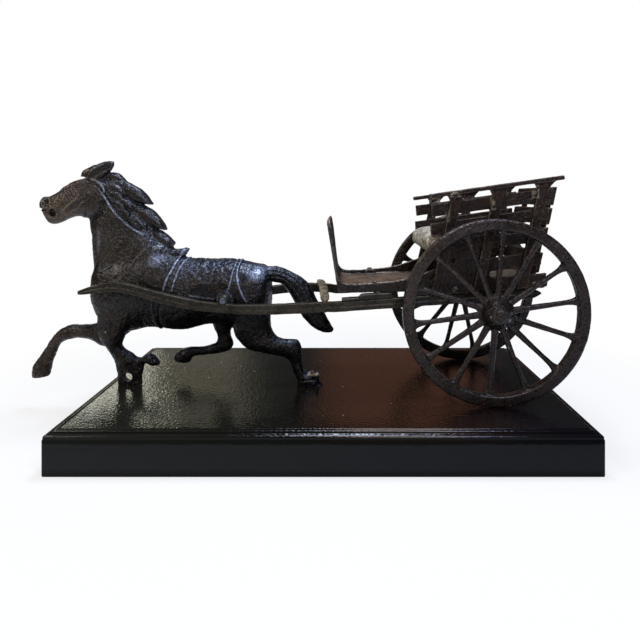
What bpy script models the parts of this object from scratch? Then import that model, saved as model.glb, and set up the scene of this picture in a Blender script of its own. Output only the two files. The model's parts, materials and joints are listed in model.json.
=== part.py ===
"""Cast iron toy: a running horse hitched to a two-wheeled farm cart, on a lacquered wooden board.

Sizes are in millimetres, and MM turns them into metres. X runs from the horse's nose (-X) to the
cart's tail (+X), Y across the toy with the horse's left side at -Y, and Z up. The origin is the
centre of the board's underside.
"""
import math

import bmesh
import bpy
from mathutils import Vector

MM = 0.001
# A reach past every piece, for cutters that go right through
FAR = 90.0
# A box that holds the whole horse: its front, rear and top
HORSE_BOX_FRONT = -240.0
HORSE_BOX_REAR = 40.0
HORSE_BOX_TOP = 200.0

# Fits between pieces
SEAT_GAP = 0.3
PIN_CLEARANCE = 0.3

# Wooden board
BOARD_LENGTH = 309.0
BOARD_WIDTH = 180.0
BOARD_HEIGHT = 24.0
BEAD_DROP = 3.4
BEAD_SETBACK = 3.6

# Wheels and axle
WHEEL_RADIUS = 57.8
WHEEL_TRACK = 102.0
RIM_DEPTH = 7.1
TREAD_WIDTH = 6.8
SPOKE_COUNT = 14
SPOKE_FIRST_DEG = {"left": 4.8, "right": 14.2}
SPOKE_HUB_WIDTH = 4.2
SPOKE_RIM_WIDTH = 3.1
SPOKE_FLARE = 4.4
SPOKE_THICKNESS = 3.6
HUB_RADIUS = 8.0
HUB_NOSE_RADIUS = 5.9
HUB_NOSE_LENGTH = 8.6
HUB_INNER_LENGTH = 7.2
AXLE_RADIUS = 2.9
AXLE_END_RADIUS = 3.7
AXLE_END_LENGTH = 1.3
WASHER_RADIUS = 5.5
WASHER_THICKNESS = 0.9

# Cart
AXLE_X = 105.3
CART_PITCH_DEG = 4.0
RACK_SPACING = 80.0
POST_THICKNESS = 3.0
POST_WIDTH = 6.6
POST_LEAN = 0.29
POST_PLACES = (-15.4, 11.1, 39.3)
POST_FILLET = ((8.0, 0.0), (4.5, 0.8), (2.2, 2.4), (0.0, 4.6))
SLAT_THICKNESS = 2.4
SLAT_OVERLAP = 0.6
# Each slat: where it starts and ends along the cart, its top at the start, and its height
SLATS = (
    (-33.2, 45.0, 68.8, 8.0),
    (-34.6, 41.0, 56.6, 7.6),
    (-4.0, 37.5, 45.4, 7.6),
    (-4.0, 34.0, 31.6, 8.4),
)
RAIL_WIDTH = 7.0
RAIL_THICKNESS = 2.7
RAIL_START = -34.0
RAIL_END = 51.2
RAIL_HEIGHT = 78.0
RAIL_SLOPE = 0.070
# How much lower each side's rail and slats sit; the two castings of this toy don't match
RACK_DROP = {"left": 0.0, "right": 1.8}
PANEL_FRONT = -31.0
PANEL_REAR = 1.0
PANEL_TOP = 47.0
PANEL_HOLE_RADIUS = 2.2
PANEL_HOLE = (-21.7, 32.3)
SILL_TOP = 20.0
SILL_REACH = 6.0
CARGO_FLOOR_TOP = 16.4
CARGO_FLOOR_REAR = 38.0
FOOT_FLOOR_FRONT = 15.9
FOOT_FLOOR_BACK = 14.0
DASH_TOP = 64.4
DASH_CORNER_RADIUS = 8.0
FOOT_FLOOR_START = -96.5
FOOT_FLOOR_END = -54.0
FOOT_FLOOR_STEP = -46.0
DASH_FRONT = -100.7
# The floor casting's upper side in the cart's frame: down the dash, then along the sunk foot floor
FLOOR_TOP_CURVE = ((-98.1, 62.0), (-96.4, 31.0), (-95.4, 22.6), (-92.6, 19.2), (-86.0, 18.3),
                   (-70.0, 17.9), (-54.0, 17.4), (-46.0, CARGO_FLOOR_TOP))
# The upper edge of the side flanges: low beside the foot floor, rising under the seat
FLANGE_TOP_CURVE = ((-96.6, 30.0), (-95.2, 25.0), (-90.0, 21.6), (-72.0, 21.0), (-56.0, 21.7),
                    (-46.0, 23.6), (-37.0, 26.0), (-31.0, 27.6))
FLANGE_WIDTH = 2.4
FLANGE_REAR = -30.0
# The cast pads that carry the front rivets up to the flange's height, over the shafts
PAD_TOP = 21.15
PAD_HALF_LENGTH = 3.4
PAD_WIDTH = 6.2
SEAT_HALF_LENGTH = 12.5
SEAT_HALF_HEIGHT = 7.6
SEAT_CENTRE = (-25.3, 43.0)
SEAT_PEG = (-27.5, 42.5)
TAILGATE_THICKNESS = 2.6
TAILGATE_FOOT = 29.6
# Bottom and top of each board of the tailgate
TAIL_BOARDS = ((20.2, 33.0), (37.8, 48.8), (50.6, 61.2), (62.9, 74.6))
STILE_WIDTH = 6.0
STILE_SPACING = 46.0
STILE_TOP = 73.0

# Shafts and cross bar
SHAFT_THICKNESS = 6.0
SHAFT_SPACING = 69.0
SHAFT_HEIGHT = 6.4
SHAFT_BASE = 4.1
SHAFT_REAR = 33.5
SHAFT_STRAIGHT_START = -97.0
RIGHT_SHAFT_LIFT = 4.2
RIGHT_SHAFT_LIFT_SPAN = (-68.0, 8.0)
SHAFT_BEAD = 0.5
EAR_RADIUS = 3.8
AXLE_LUG_HALF = 7.0
AXLE_LUG_DROP = 6.6
STRIP_HEIGHT = 1.9
BOLSTER_FRONT = -94.6
BOLSTER_BLOCK_FRONT = -81.5
BOLSTER_BLOCK_RAMP = 2.0
BOLSTER_REAR = -61.4
BOLSTER_BLOCK_FLAT = 13.0
CROSSBAR_WIDTH = 6.0
CROSSBAR_HEIGHT = 2.8
CROSSBAR_BOW = 0.4
CROSSBAR_MIDDLE_X = -2.6
CROSSBAR_LEFT_END = (-0.7, 85.9)
CROSSBAR_RIGHT_END = (-6.4, 87.7)
SHAFT_SIDE_AT_PIVOT = 25.1
PEG_RADIUS = 1.4

# Rivets, pins and screws
PIN_RADIUS = 1.9
PIN_HEAD_RADIUS = 2.8
PIN_HEAD_HEIGHT = 1.2
RIVET_RADIUS = 1.0
RIVET_HEAD_RADIUS = 2.1
RIVET_HEAD_HEIGHT = 1.0
SCREW_RADIUS = 1.1
SCREW_HEAD_RADIUS = 2.6
SCREW_HEAD_HEIGHT = 2.0
COUNTERBORE_DEPTH = 9.0
COUNTERBORE_CLEARANCE = 1.0
RIVET_TIP_DEPTH = 0.4
BODY_RIVET_PLACES = (-72.5, 20.0)
RACK_RIVET_PLACES = (-22.0, 29.0)
RACK_RIVET_HEIGHT = 13.6
RACK_RIVET_REACH = 8.0

# Horse
PIVOT_X = -68.0
PIVOT_Z = 84.8
LEG_OFFSET = 10.0
IRON_WALL = 3.6
BOSS_RADIUS = 5.6
FRONT_RIVET_X = -138.0
FRONT_RIVET_Z = 93.0
FRONT_RIVET_REACH = 19.6
LUG_HOLE_X = -136.3
LUG_HOLE_Z = 30.0
LUG_HOLE_RADIUS = 3.1
BIT_HOLE_X = -190.9
BIT_HOLE_Z = 142.5
BIT_HOLE_RADIUS = 1.9
FRONT_SCREW_X = -141.8
REAR_SCREW_X = -15.8
FRONT_SCREW_TOP = 33.0
REAR_SCREW_TOP = 31.0
VOXEL = 1.35
HORSE_FACE_SHARE = 0.064

# Places that follow from the sizes above
GROUND_Z = BOARD_HEIGHT + SEAT_GAP
AXLE_Z = GROUND_Z + WHEEL_RADIUS
CART_PITCH = math.radians(CART_PITCH_DEG)
WHEEL_Y = WHEEL_TRACK / 2
SHAFT_Y = SHAFT_SPACING / 2
RACK_Y = RACK_SPACING / 2
SHAFT_TOP = SHAFT_BASE + SHAFT_HEIGHT
SLAT_OUTER_Y = RACK_Y - POST_THICKNESS / 2 + SLAT_OVERLAP
RACK_INNER_Y = SLAT_OUTER_Y - SLAT_THICKNESS - SLAT_OVERLAP
FLOOR_HALF = RACK_INNER_Y - SEAT_GAP
PANEL_BOTTOM = SHAFT_TOP + SEAT_GAP
BODY_RIVET_Y = FLOOR_HALF - RIVET_HEAD_RADIUS - SEAT_GAP
SIDES = {"left": -1, "right": 1}
CROSSBAR_ENDS = {-1: CROSSBAR_LEFT_END, 1: CROSSBAR_RIGHT_END}

# Each rib of the horse: its two outline points in the X-Z plane, then its half width across
BARREL_RIBS = (
    ((-163.6, 93), (-163.6, 80), 7),
    ((-161.6, 107), (-161, 70), 13.5),
    ((-154, 114), (-153, 62), 18),
    ((-141, 118), (-140, 59), 20),
    ((-129, 119), (-128, 61.4), 20.3),
    ((-118, 118), (-118, 61.6), 20),
    ((-107, 114.5), (-107, 60), 20),
    ((-97, 110.5), (-97, 60.7), 20.3),
    ((-83, 109.9), (-83, 64), 20.4),
    ((-66, 109.8), (-68, 61.5), 20.4),
    ((-50, 106.5), (-54, 59.5), 19.5),
    ((-43.8, 104.8), (-43.4, 64), 16.5),
    ((-40.6, 99), (-40.2, 70), 11.5),
    ((-39.8, 92), (-39.8, 77), 6),
)
NECK_RIBS = (
    ((-163, 84), (-104, 100), 17),
    ((-163.8, 98), (-107, 115), 16),
    ((-165, 112.3), (-116, 124.5), 14),
    ((-165.6, 122), (-126, 136.5), 12),
    ((-166.8, 131), (-134.5, 148), 10.5),
    ((-167.5, 138.2), (-143, 158), 9.5),
    ((-171, 144), (-153, 168), 9),
    ((-174, 150), (-162, 168), 7),
)
HEAD_RIBS = (
    ((-163, 146), (-158, 166), 7),
    ((-169.2, 138.3), (-163, 168), 9),
    ((-174.2, 139.6), (-172, 166.6), 9.5),
    ((-179.5, 139), (-178.4, 164.7), 9),
    ((-185, 136.6), (-184.3, 161.2), 8),
    ((-190.5, 134.4), (-190, 157), 7.2),
    ((-196, 134.8), (-195.5, 154.2), 6.8),
    ((-198.8, 140.8), (-200, 153.8), 6),
    ((-202.4, 145), (-202.3, 150.6), 3.5),
)
TAIL_RIBS = (
    ((-52, 103), (-50, 92), 6),
    ((-41, 104.5), (-40, 93.5), 5.5),
    ((-33.4, 103.9), (-32.7, 92.1), 5.5),
    ((-24.9, 100.6), (-28.5, 88), 5.5),
    ((-17, 96), (-23.5, 80), 6),
    ((-12, 90.5), (-18.6, 70.3), 6.5),
    ((-8, 82.6), (-13.6, 64.6), 6.5),
    ((-2.3, 72.2), (-8.9, 60.4), 6),
    ((3, 63), (-2.3, 57.5), 4.2),
    ((5.3, 59.6), (3, 57.3), 1.8),
)
LEFT_HIND_RIBS = (
    ((-68, 80), (-42, 86), 8),
    ((-65, 68), (-38.8, 72), 8.5),
    ((-62.6, 57.2), (-38.2, 63.5), 8),
    ((-53.6, 48.2), (-34.4, 57.5), 7),
    ((-41, 45.6), (-28, 55.4), 5.8),
    ((-30, 43), (-20, 55.4), 4.8),
    ((-25.8, 39.9), (-17.2, 49.8), 4.3),
    ((-24.3, 35.5), (-17, 41), 3.8),
    ((-23, 31.3), (-15.3, 33.6), 4),
    ((-21.5, 28), (-8, 29.6), 4.8),
    ((-20.6, 23), (-1.4, 23), 5.2),
)
RIGHT_HIND_RIBS = (
    ((-88, 78), (-58, 82), 8),
    ((-85, 68), (-64, 68), 7.5),
    ((-82.5, 60), (-69.5, 58), 6.5),
    ((-80, 53), (-70.3, 54), 5.2),
    ((-80.5, 48.5), (-68, 46.5), 4.8),
    ((-84, 46.8), (-73, 41.5), 4.5),
    ((-90, 45), (-88, 39), 4),
    ((-97.5, 44.8), (-97, 37.8), 4),
    ((-104.5, 44), (-99.5, 34), 4.4),
    ((-109, 40.5), (-104, 33), 4.9),
    ((-111.8, 36.8), (-108, 33.6), 4.2),
)
RIGHT_FORE_RIBS = (
    ((-140, 80), (-135, 62), 7),
    ((-155, 68), (-148, 52), 7),
    ((-166.5, 62.3), (-160, 45), 6.4),
    ((-177, 61), (-171, 50), 5.4),
    ((-186.1, 61), (-181, 51.3), 5),
    ((-192.8, 58), (-189.3, 49.3), 4.9),
    ((-198.8, 52.2), (-194.1, 46), 4.4),
    ((-205.9, 41.7), (-196.9, 39.5), 4.0),
    ((-210.7, 34.8), (-199.3, 33.5), 4.3),
    ((-213.6, 30.3), (-199.9, 29), 4.9),
    ((-214.2, 22.5), (-201.3, 23.5), 5.2),
)
LEFT_FORE_RIBS = (
    ((-158, 72), (-134.4, 70), 7.5),
    ((-157, 58.5), (-139.5, 57), 7),
    ((-151.5, 49.6), (-141, 50.5), 5.6),
    ((-148, 43.5), (-133, 44.5), 4.6),
    ((-145.8, 38.5), (-126, 37.5), 3.6),
    ((-144.6, 29), (-127, 29), 2.8),
    ((-144, 22.5), (-127.3, 22.5), 2.8),
)
FOLDED_HOOF_RIBS = (
    ((-136, 44.5), (-134, 37), 4),
    ((-127, 43.2), (-125, 36.6), 4),
    ((-123.6, 44.2), (-121.3, 36.6), 4.2),
    ((-119.2, 44.6), (-116, 36.8), 4.4),
    ((-115, 40), (-114.6, 37.2), 3.6),
)
LEFT_EAR_RIBS = (
    ((-169, 169.5), (-159, 164.5), 3),
    ((-165, 173), (-157.5, 167), 3.2),
    ((-159.7, 176), (-155, 170), 3),
    ((-152.5, 178.6), (-151, 173), 2.2),
    ((-149, 178.8), (-149.3, 176.5), 1.2),
)
RIGHT_EAR_RIBS = (
    ((-176.5, 168), (-167, 166), 2.8),
    ((-175, 172), (-166, 169.5), 3),
    ((-171, 174.5), (-164.5, 172), 2.6),
    ((-166, 176.5), (-163.5, 174.5), 1.3),
)
MANE_OUTLINE = (
    (-160, 166), (-154, 172.4), (-151, 169.6), (-143.8, 164.2), (-135.2, 158.7), (-131.5, 155.3),
    (-124, 148), (-128, 145), (-119.3, 136), (-113.6, 129.4), (-119, 128.2),
    (-116.8, 124.8), (-108.4, 119.8), (-108.6, 114), (-122, 112), (-145, 135), (-160, 158),
)
MANE_HALF_WIDTH = 4.2

# The shaft's course: X, top edge, bottom edge, and distance from the toy's centre plane
SHAFT_COURSE = (
    (-164.5, 90.4, 88.4, 25.2),
    (-160, 93.2, 88.8, 25),
    (-154, 95.8, 90.1, 24.8),
    (-146.5, 97.1, 91, 24.6),
    (-138.5, 96.9, 90.4, 24.4),
    (-129, 95.3, 88.7, 24.3),
    (-118.5, 92.4, 85.6, 24.3),
    (-107, 89.4, 82.2, 24.3),
    (-95, 86.8, 79.6, 24.4),
    (-84, 84.5, 77.9, 24.6),
    (-70, 82.8, 76.9, 25),
    (-54, 82.2, 76, 26.3),
    (-36, 82.9, 76.4, 28.4),
    (-18, 84.1, 77.6, 31.2),
    (0, 85.4, 79.1, 33.6),
)


def smooth_curve(points, steps):
    """Points along a Catmull-Rom curve through the given points, `steps` to each span."""
    vectors = [Vector(point) for point in points]
    ends = [2 * vectors[0] - vectors[1]] + vectors + [2 * vectors[-1] - vectors[-2]]
    curve = []
    for i in range(1, len(ends) - 2):
        p0, p1, p2, p3 = ends[i - 1:i + 3]
        for step in range(steps):
            t = step / steps
            curve.append(0.5 * (2 * p1 + (p2 - p0) * t + (2 * p0 - 5 * p1 + 4 * p2 - p3) * t ** 2
                                + (3 * p1 - p0 - 3 * p2 + p3) * t ** 3))
    curve.append(vectors[-1])
    return curve


def principled(name, colour, roughness, metallic):
    """A material whose Principled shader has the piece's colour, roughness and metallic value."""
    material = bpy.data.materials.new(name)
    material.use_nodes = True
    shader = material.node_tree.nodes["Principled BSDF"]
    shader.inputs["Base Color"].default_value = (*colour, 1.0)
    shader.inputs["Roughness"].default_value = roughness
    shader.inputs["Metallic"].default_value = metallic
    material.diffuse_color = (*colour, 1.0)
    return material


def loft(bm, rings):
    """Join rings of equally many points into a closed skin, with a cap on each end."""
    loops = [[bm.verts.new(point) for point in ring] for ring in rings]
    count = len(loops[0])
    for one, two in zip(loops, loops[1:]):
        for i in range(count):
            j = (i + 1) % count
            bm.faces.new((one[i], one[j], two[j], two[i]))
    bm.faces.new(list(reversed(loops[0])))
    bm.faces.new(loops[-1])


def finish_mesh(bm, name):
    """Turn the faces outwards, change millimetres to metres and store the mesh in an object."""
    bmesh.ops.recalc_face_normals(bm, faces=bm.faces)
    bmesh.ops.scale(bm, vec=(MM, MM, MM), verts=bm.verts)
    mesh = bpy.data.meshes.new(name)
    bm.to_mesh(mesh)
    bm.free()
    obj = bpy.data.objects.new(name, mesh)
    bpy.context.collection.objects.link(obj)
    return obj


def prism(name, outline, low_y, high_y):
    """An outline in the X-Z plane, extruded across from low_y to high_y."""
    bm = bmesh.new()
    loft(bm, [[(x, y, z) for x, z in outline] for y in (low_y, high_y)])
    return finish_mesh(bm, name)


def turned(name, profile, centre, segments=24, axis="Y"):
    """A solid turned about an axis: the profile's pairs are radius and place along the axis."""
    bm = bmesh.new()
    rings = []
    for radius, along in profile:
        ring = []
        for i in range(segments):
            turn = 2 * math.pi * i / segments
            across = (radius * math.cos(turn), radius * math.sin(turn))
            if axis == "Y":
                ring.append((centre[0] + across[0], centre[1] + along, centre[2] + across[1]))
            else:
                ring.append((centre[0] + across[0], centre[1] + across[1], centre[2] + along))
        rings.append(ring)
    loft(bm, rings)
    return finish_mesh(bm, name)


def rod(name, radius, low, high, centre, segments=24, axis="Y"):
    """A plain round rod between two places on its axis."""
    return turned(name, ((radius, low), (radius, high)), centre, segments, axis)


def block(name, low, high):
    """A box between two corners."""
    bm = bmesh.new()
    bmesh.ops.create_cube(bm, size=1.0)
    low, high = Vector(low), Vector(high)
    bmesh.ops.scale(bm, vec=high - low, verts=bm.verts)
    bmesh.ops.translate(bm, vec=(low + high) / 2, verts=bm.verts)
    return finish_mesh(bm, name)


def bake(obj):
    """Replace an object's mesh with the mesh that its modifiers make, and drop the modifiers."""
    depsgraph = bpy.context.evaluated_depsgraph_get()
    mesh = bpy.data.meshes.new_from_object(obj.evaluated_get(depsgraph))
    obj.modifiers.clear()
    old = obj.data
    obj.data = mesh
    bpy.data.meshes.remove(old)
    return obj


def combine(obj, others, operation):
    """Boolean each of the other objects with the first, one after another, then remove them."""
    for other in others:
        modifier = obj.modifiers.new(operation.title(), "BOOLEAN")
        modifier.operation = operation
        modifier.solver = "EXACT"
        modifier.object = other
        bake(obj)
        bpy.data.objects.remove(other)
    return obj


def union(obj, *others):
    return combine(obj, others, "UNION")


def cut(obj, *others):
    return combine(obj, others, "DIFFERENCE")


def clean(obj, distance=0.004):
    """Merge points closer than `distance` millimetres and clear the slivers that Booleans leave."""
    bm = bmesh.new()
    bm.from_mesh(obj.data)
    bmesh.ops.remove_doubles(bm, verts=bm.verts, dist=distance * MM)
    bmesh.ops.dissolve_degenerate(bm, edges=bm.edges, dist=distance * MM)
    bm.to_mesh(obj.data)
    bm.free()
    return obj


def finished(obj, name, material, smooth_deg=None, parent=None):
    """Name a piece, give it its material, shade it and hang it on its parent."""
    clean(obj)
    obj.name = name
    obj.data.name = name
    obj.data.materials.clear()
    obj.data.materials.append(material)
    if smooth_deg:
        obj.data.shade_smooth()
        obj.data.set_sharp_from_angle(angle=math.radians(smooth_deg))
    if parent:
        obj.parent = parent
    return obj


def empty(name, location, parent=None, pitch=0.0):
    """A plain-axes empty, for hanging pieces on a joint's axis."""
    obj = bpy.data.objects.new(name, None)
    bpy.context.collection.objects.link(obj)
    obj.location = Vector(location) * MM
    obj.rotation_euler = (0.0, -pitch, 0.0)
    obj.parent = parent
    return obj


def to_cart(x, z):
    """Turn a place beside the toy into the cart's own frame, whose origin is the axle."""
    dx, dz = x - AXLE_X, z - AXLE_Z
    return (dx * math.cos(CART_PITCH) + dz * math.sin(CART_PITCH),
            -dx * math.sin(CART_PITCH) + dz * math.cos(CART_PITCH))


def make_board(wood):
    """The plinth: rectangles stacked up its moulded edge, with two counterbored screw holes."""
    steps = (
        (0.0, 0.6), (0.8, 0.0), (BOARD_HEIGHT - BEAD_DROP, 0.0),
        (BOARD_HEIGHT - 0.60 * BEAD_DROP, 0.15 * BEAD_SETBACK),
        (BOARD_HEIGHT - 0.42 * BEAD_DROP, 0.55 * BEAD_SETBACK),
        (BOARD_HEIGHT - 0.42 * BEAD_DROP, 0.75 * BEAD_SETBACK),
        (BOARD_HEIGHT - 0.18 * BEAD_DROP, 0.80 * BEAD_SETBACK),
        (BOARD_HEIGHT, BEAD_SETBACK),
    )
    rings = []
    for z, inset in steps:
        hx, hy = BOARD_LENGTH / 2 - inset, BOARD_WIDTH / 2 - inset
        rings.append([(-hx, -hy, z), (hx, -hy, z), (hx, hy, z), (-hx, hy, z)])
    bm = bmesh.new()
    loft(bm, rings)
    board = finish_mesh(bm, "board")
    for x in (FRONT_SCREW_X, REAR_SCREW_X):
        place = (x, -LEG_OFFSET, 0.0)
        hole = rod("hole", SCREW_RADIUS + PIN_CLEARANCE, -1.0, BOARD_HEIGHT + 1.0, place, 16, "Z")
        recess = rod("recess", SCREW_HEAD_RADIUS + COUNTERBORE_CLEARANCE, -1.0, COUNTERBORE_DEPTH,
                     place, 20, "Z")
        cut(board, hole, recess)
    return finished(board, "display_board", wood, 30)


def make_screw(name, x, top, steel):
    """A screw that comes up through the board into a foot of the horse."""
    head = COUNTERBORE_DEPTH - SEAT_GAP
    profile = (
        (0.6 * SCREW_HEAD_RADIUS, head - SCREW_HEAD_HEIGHT),
        (SCREW_HEAD_RADIUS, head - 0.6 * SCREW_HEAD_HEIGHT),
        (SCREW_HEAD_RADIUS, head),
        (SCREW_RADIUS, head),
        (SCREW_RADIUS, top - 1.0),
        (0.4 * SCREW_RADIUS, top),
    )
    screw = turned("screw", profile, (x, -LEG_OFFSET, 0.0), 16, "Z")
    return finished(screw, name, steel, 40)


def ribbed(name, ribs, centre_y=0.0, sides=16, steps=2, shrink=0.0):
    """A limb: each rib is an ellipse whose long axis joins its two outline points.

    The ribs are smoothed along the limb, and `shrink` draws each one in by that many millimetres.
    """
    packed = smooth_curve([(a[0], a[1], b[0]) for a, b, w in ribs], steps)
    rest = smooth_curve([(b[1], w, 0.0) for a, b, w in ribs], steps)
    rings = []
    for (ax, az, bx), (bz, width, zero) in zip(packed, rest):
        a, b = Vector((ax, centre_y, az)), Vector((bx, centre_y, bz))
        middle, reach = (a + b) / 2, (a - b) / 2
        reach *= max(reach.length - shrink, 0.5) / reach.length
        width = max(width - shrink, 0.5)
        rings.append([middle + reach * math.cos(2 * math.pi * i / sides)
                      + Vector((0.0, width * math.sin(2 * math.pi * i / sides), 0.0))
                      for i in range(sides)])
    bm = bmesh.new()
    loft(bm, rings)
    return finish_mesh(bm, name)


def make_horse_body():
    """The whole horse as one closed skin: its limbs are fused by a voxel remesh and smoothed."""
    limbs = [
        ribbed("barrel", BARREL_RIBS, 0.0, 24),
        ribbed("neck", NECK_RIBS),
        ribbed("head", HEAD_RIBS),
        ribbed("tail", TAIL_RIBS),
        ribbed("left_hind", LEFT_HIND_RIBS, -LEG_OFFSET),
        ribbed("right_hind", RIGHT_HIND_RIBS, LEG_OFFSET),
        ribbed("left_fore", LEFT_FORE_RIBS, -LEG_OFFSET),
        ribbed("folded_hoof", FOLDED_HOOF_RIBS, -LEG_OFFSET),
        ribbed("right_fore", RIGHT_FORE_RIBS, LEG_OFFSET),
        ribbed("left_ear", LEFT_EAR_RIBS, -4.8),
        ribbed("right_ear", RIGHT_EAR_RIBS, 4.8),
        prism("mane", MANE_OUTLINE, -MANE_HALF_WIDTH, MANE_HALF_WIDTH),
    ]
    bm = bmesh.new()
    for limb in limbs:
        bm.from_mesh(limb.data)
        bpy.data.objects.remove(limb)
    mesh = bpy.data.meshes.new("horse")
    bm.to_mesh(mesh)
    bm.free()
    horse = bpy.data.objects.new("horse", mesh)
    bpy.context.collection.objects.link(horse)
    remesh = horse.modifiers.new("Fuse", "REMESH")
    remesh.mode = "VOXEL"
    remesh.voxel_size = VOXEL * MM
    soften = horse.modifiers.new("Soften", "SMOOTH")
    soften.factor = 0.5
    soften.iterations = 2
    thin = horse.modifiers.new("Thin", "DECIMATE")
    thin.ratio = HORSE_FACE_SHARE
    return bake(horse)


def make_horse_half(body, side, iron):
    """One cast half: the body cut at the parting plane, cored, and bored for its rivets."""
    sign = SIDES[side]
    half = body.copy()
    half.data = body.data.copy()
    bpy.context.collection.objects.link(half)
    near, far = sorted((sign * SEAT_GAP / 2, sign * FAR))
    keep = block("keep", (HORSE_BOX_FRONT, near, GROUND_Z - 6.0), (HORSE_BOX_REAR, far, HORSE_BOX_TOP))
    combine(half, [keep], "INTERSECT")
    ear_face = SHAFT_SIDE_AT_PIVOT - SHAFT_THICKNESS / 2 - SEAT_GAP
    low, high = sorted((sign * 12.0, sign * ear_face))
    union(half, rod("boss", BOSS_RADIUS, low, high, (PIVOT_X, 0.0, PIVOT_Z), 20))
    floor = block("floor", (-BOARD_LENGTH / 2 - 1.0, -FAR, 0.0), (HORSE_BOX_REAR, FAR, GROUND_Z))
    core = ribbed("core", BARREL_RIBS[1:-1], 0.0, 14, 1, IRON_WALL)
    pivot = rod("pivot", PIN_RADIUS + PIN_CLEARANCE, -FAR, FAR, (PIVOT_X, 0.0, PIVOT_Z), 20)
    front = rod("front", PIN_RADIUS + PIN_CLEARANCE, -FAR, FAR,
                (FRONT_RIVET_X, 0.0, FRONT_RIVET_Z), 20)
    bit = rod("bit", BIT_HOLE_RADIUS, -FAR, FAR, (BIT_HOLE_X, 0.0, BIT_HOLE_Z), 14)
    cut(half, floor, core, pivot, front, bit)
    if sign < 0:
        lug = rod("lug", LUG_HOLE_RADIUS, -FAR, 0.0, (LUG_HOLE_X, 0.0, LUG_HOLE_Z), 20)
        cut(half, lug)
        for x, top in ((FRONT_SCREW_X, FRONT_SCREW_TOP), (REAR_SCREW_X, REAR_SCREW_TOP)):
            cut(half, rod("screw_hole", SCREW_RADIUS + PIN_CLEARANCE, 0.0, top + SEAT_GAP,
                          (x, -LEG_OFFSET, 0.0), 12, "Z"))
    return finished(half, f"horse_{side}_half", iron, 50)


def right_shaft_lift(x):
    """How much higher the right shaft bows than the left one, between the horse and the cart."""
    start, end = RIGHT_SHAFT_LIFT_SPAN
    if not start < x < end:
        return 0.0
    return RIGHT_SHAFT_LIFT * math.sin(math.pi * (x - start) / (end - start))


def shaft_rings(sign):
    """Cross-sections along the shaft in the cart's frame: a flat bar with two beads outside."""
    rear = SHAFT_REAR
    course = []
    for x, top, bottom, side in SHAFT_COURSE:
        middle = (top + bottom) / 2 + (right_shaft_lift(x) if sign > 0 else 0.0)
        course.append(Vector((*to_cart(x, middle), (top - bottom) / 2, side)))
    straight = [(SHAFT_STRAIGHT_START, SHAFT_HEIGHT / 2), (-40.0, SHAFT_HEIGHT / 2),
                (rear - 6.0, SHAFT_HEIGHT / 2), (rear, 0.15 * SHAFT_HEIGHT)]
    middle = SHAFT_BASE + SHAFT_HEIGHT / 2
    rings = []
    for u, w, half, side in course + [Vector((u, middle, h, SHAFT_Y)) for u, h in straight]:
        inner = sign * (side - SHAFT_THICKNESS / 2)
        outer = sign * (side + SHAFT_THICKNESS / 2 - SHAFT_BEAD)
        bead = sign * (side + SHAFT_THICKNESS / 2)
        rings.append([
            (u, inner, w - half), (u, outer, w - half),
            (u, bead, w - 0.75 * half), (u, outer, w - 0.5 * half),
            (u, bead, w - 0.25 * half), (u, outer, w),
            (u, outer, w + half), (u, inner, w + half),
        ])
    return rings


def make_shaft(side, iron, parent):
    """A shaft: the curved bar, the ear on the horse's pin and the lug under it for the axle."""
    sign = SIDES[side]
    bm = bmesh.new()
    loft(bm, shaft_rings(sign))
    shaft = finish_mesh(bm, "shaft")
    pin = to_cart(PIVOT_X, PIVOT_Z)
    low, high = sorted((sign * (SHAFT_SIDE_AT_PIVOT - SHAFT_THICKNESS / 2),
                        sign * (SHAFT_SIDE_AT_PIVOT + SHAFT_THICKNESS / 2 - SHAFT_BEAD)))
    union(shaft, rod("ear", EAR_RADIUS, low, high, (pin[0], 0.0, pin[1]), 24))
    low, high = sorted((sign * (SHAFT_Y - SHAFT_THICKNESS / 2),
                        sign * (WHEEL_Y - HUB_INNER_LENGTH - SEAT_GAP)))
    half, drop = AXLE_LUG_HALF, AXLE_LUG_DROP
    lug = prism("lug", ((-half - 4.0, SHAFT_BASE + 1.0), (-half, -1.0), (-0.7 * half, -0.8 * drop),
                        (0.0, -drop), (0.7 * half, -0.8 * drop), (half, -1.0),
                        (half + 4.0, SHAFT_BASE + 1.0)), low, high)
    union(shaft, lug)
    cut(shaft,
        rod("pin_hole", PIN_RADIUS + PIN_CLEARANCE, -FAR, FAR, (pin[0], 0.0, pin[1]), 20),
        rod("axle_hole", AXLE_RADIUS + PIN_CLEARANCE, -FAR, FAR, (0.0, 0.0, 0.0), 24))
    cut_rivet_holes(shaft, sign, BODY_RIVET_PLACES)
    peg = to_cart(*CROSSBAR_ENDS[sign])
    cut(shaft, rod("peg_hole", PEG_RADIUS + PIN_CLEARANCE, peg[1] - FAR, peg[1] + FAR,
                   (peg[0], sign * SHAFT_Y, 0.0), 14, "Z"))
    return finished(shaft, f"{side}_shaft", iron, 35, parent)


def cut_rivet_holes(obj, sign, places):
    """Bore a piece for the upright rivets that hold the body on one shaft."""
    for u in places:
        cut(obj, rod("rivet_hole", RIVET_RADIUS + PIN_CLEARANCE, -SHAFT_BASE, FAR,
                     (u, sign * BODY_RIVET_Y, 0.0), 14, "Z"))


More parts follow.
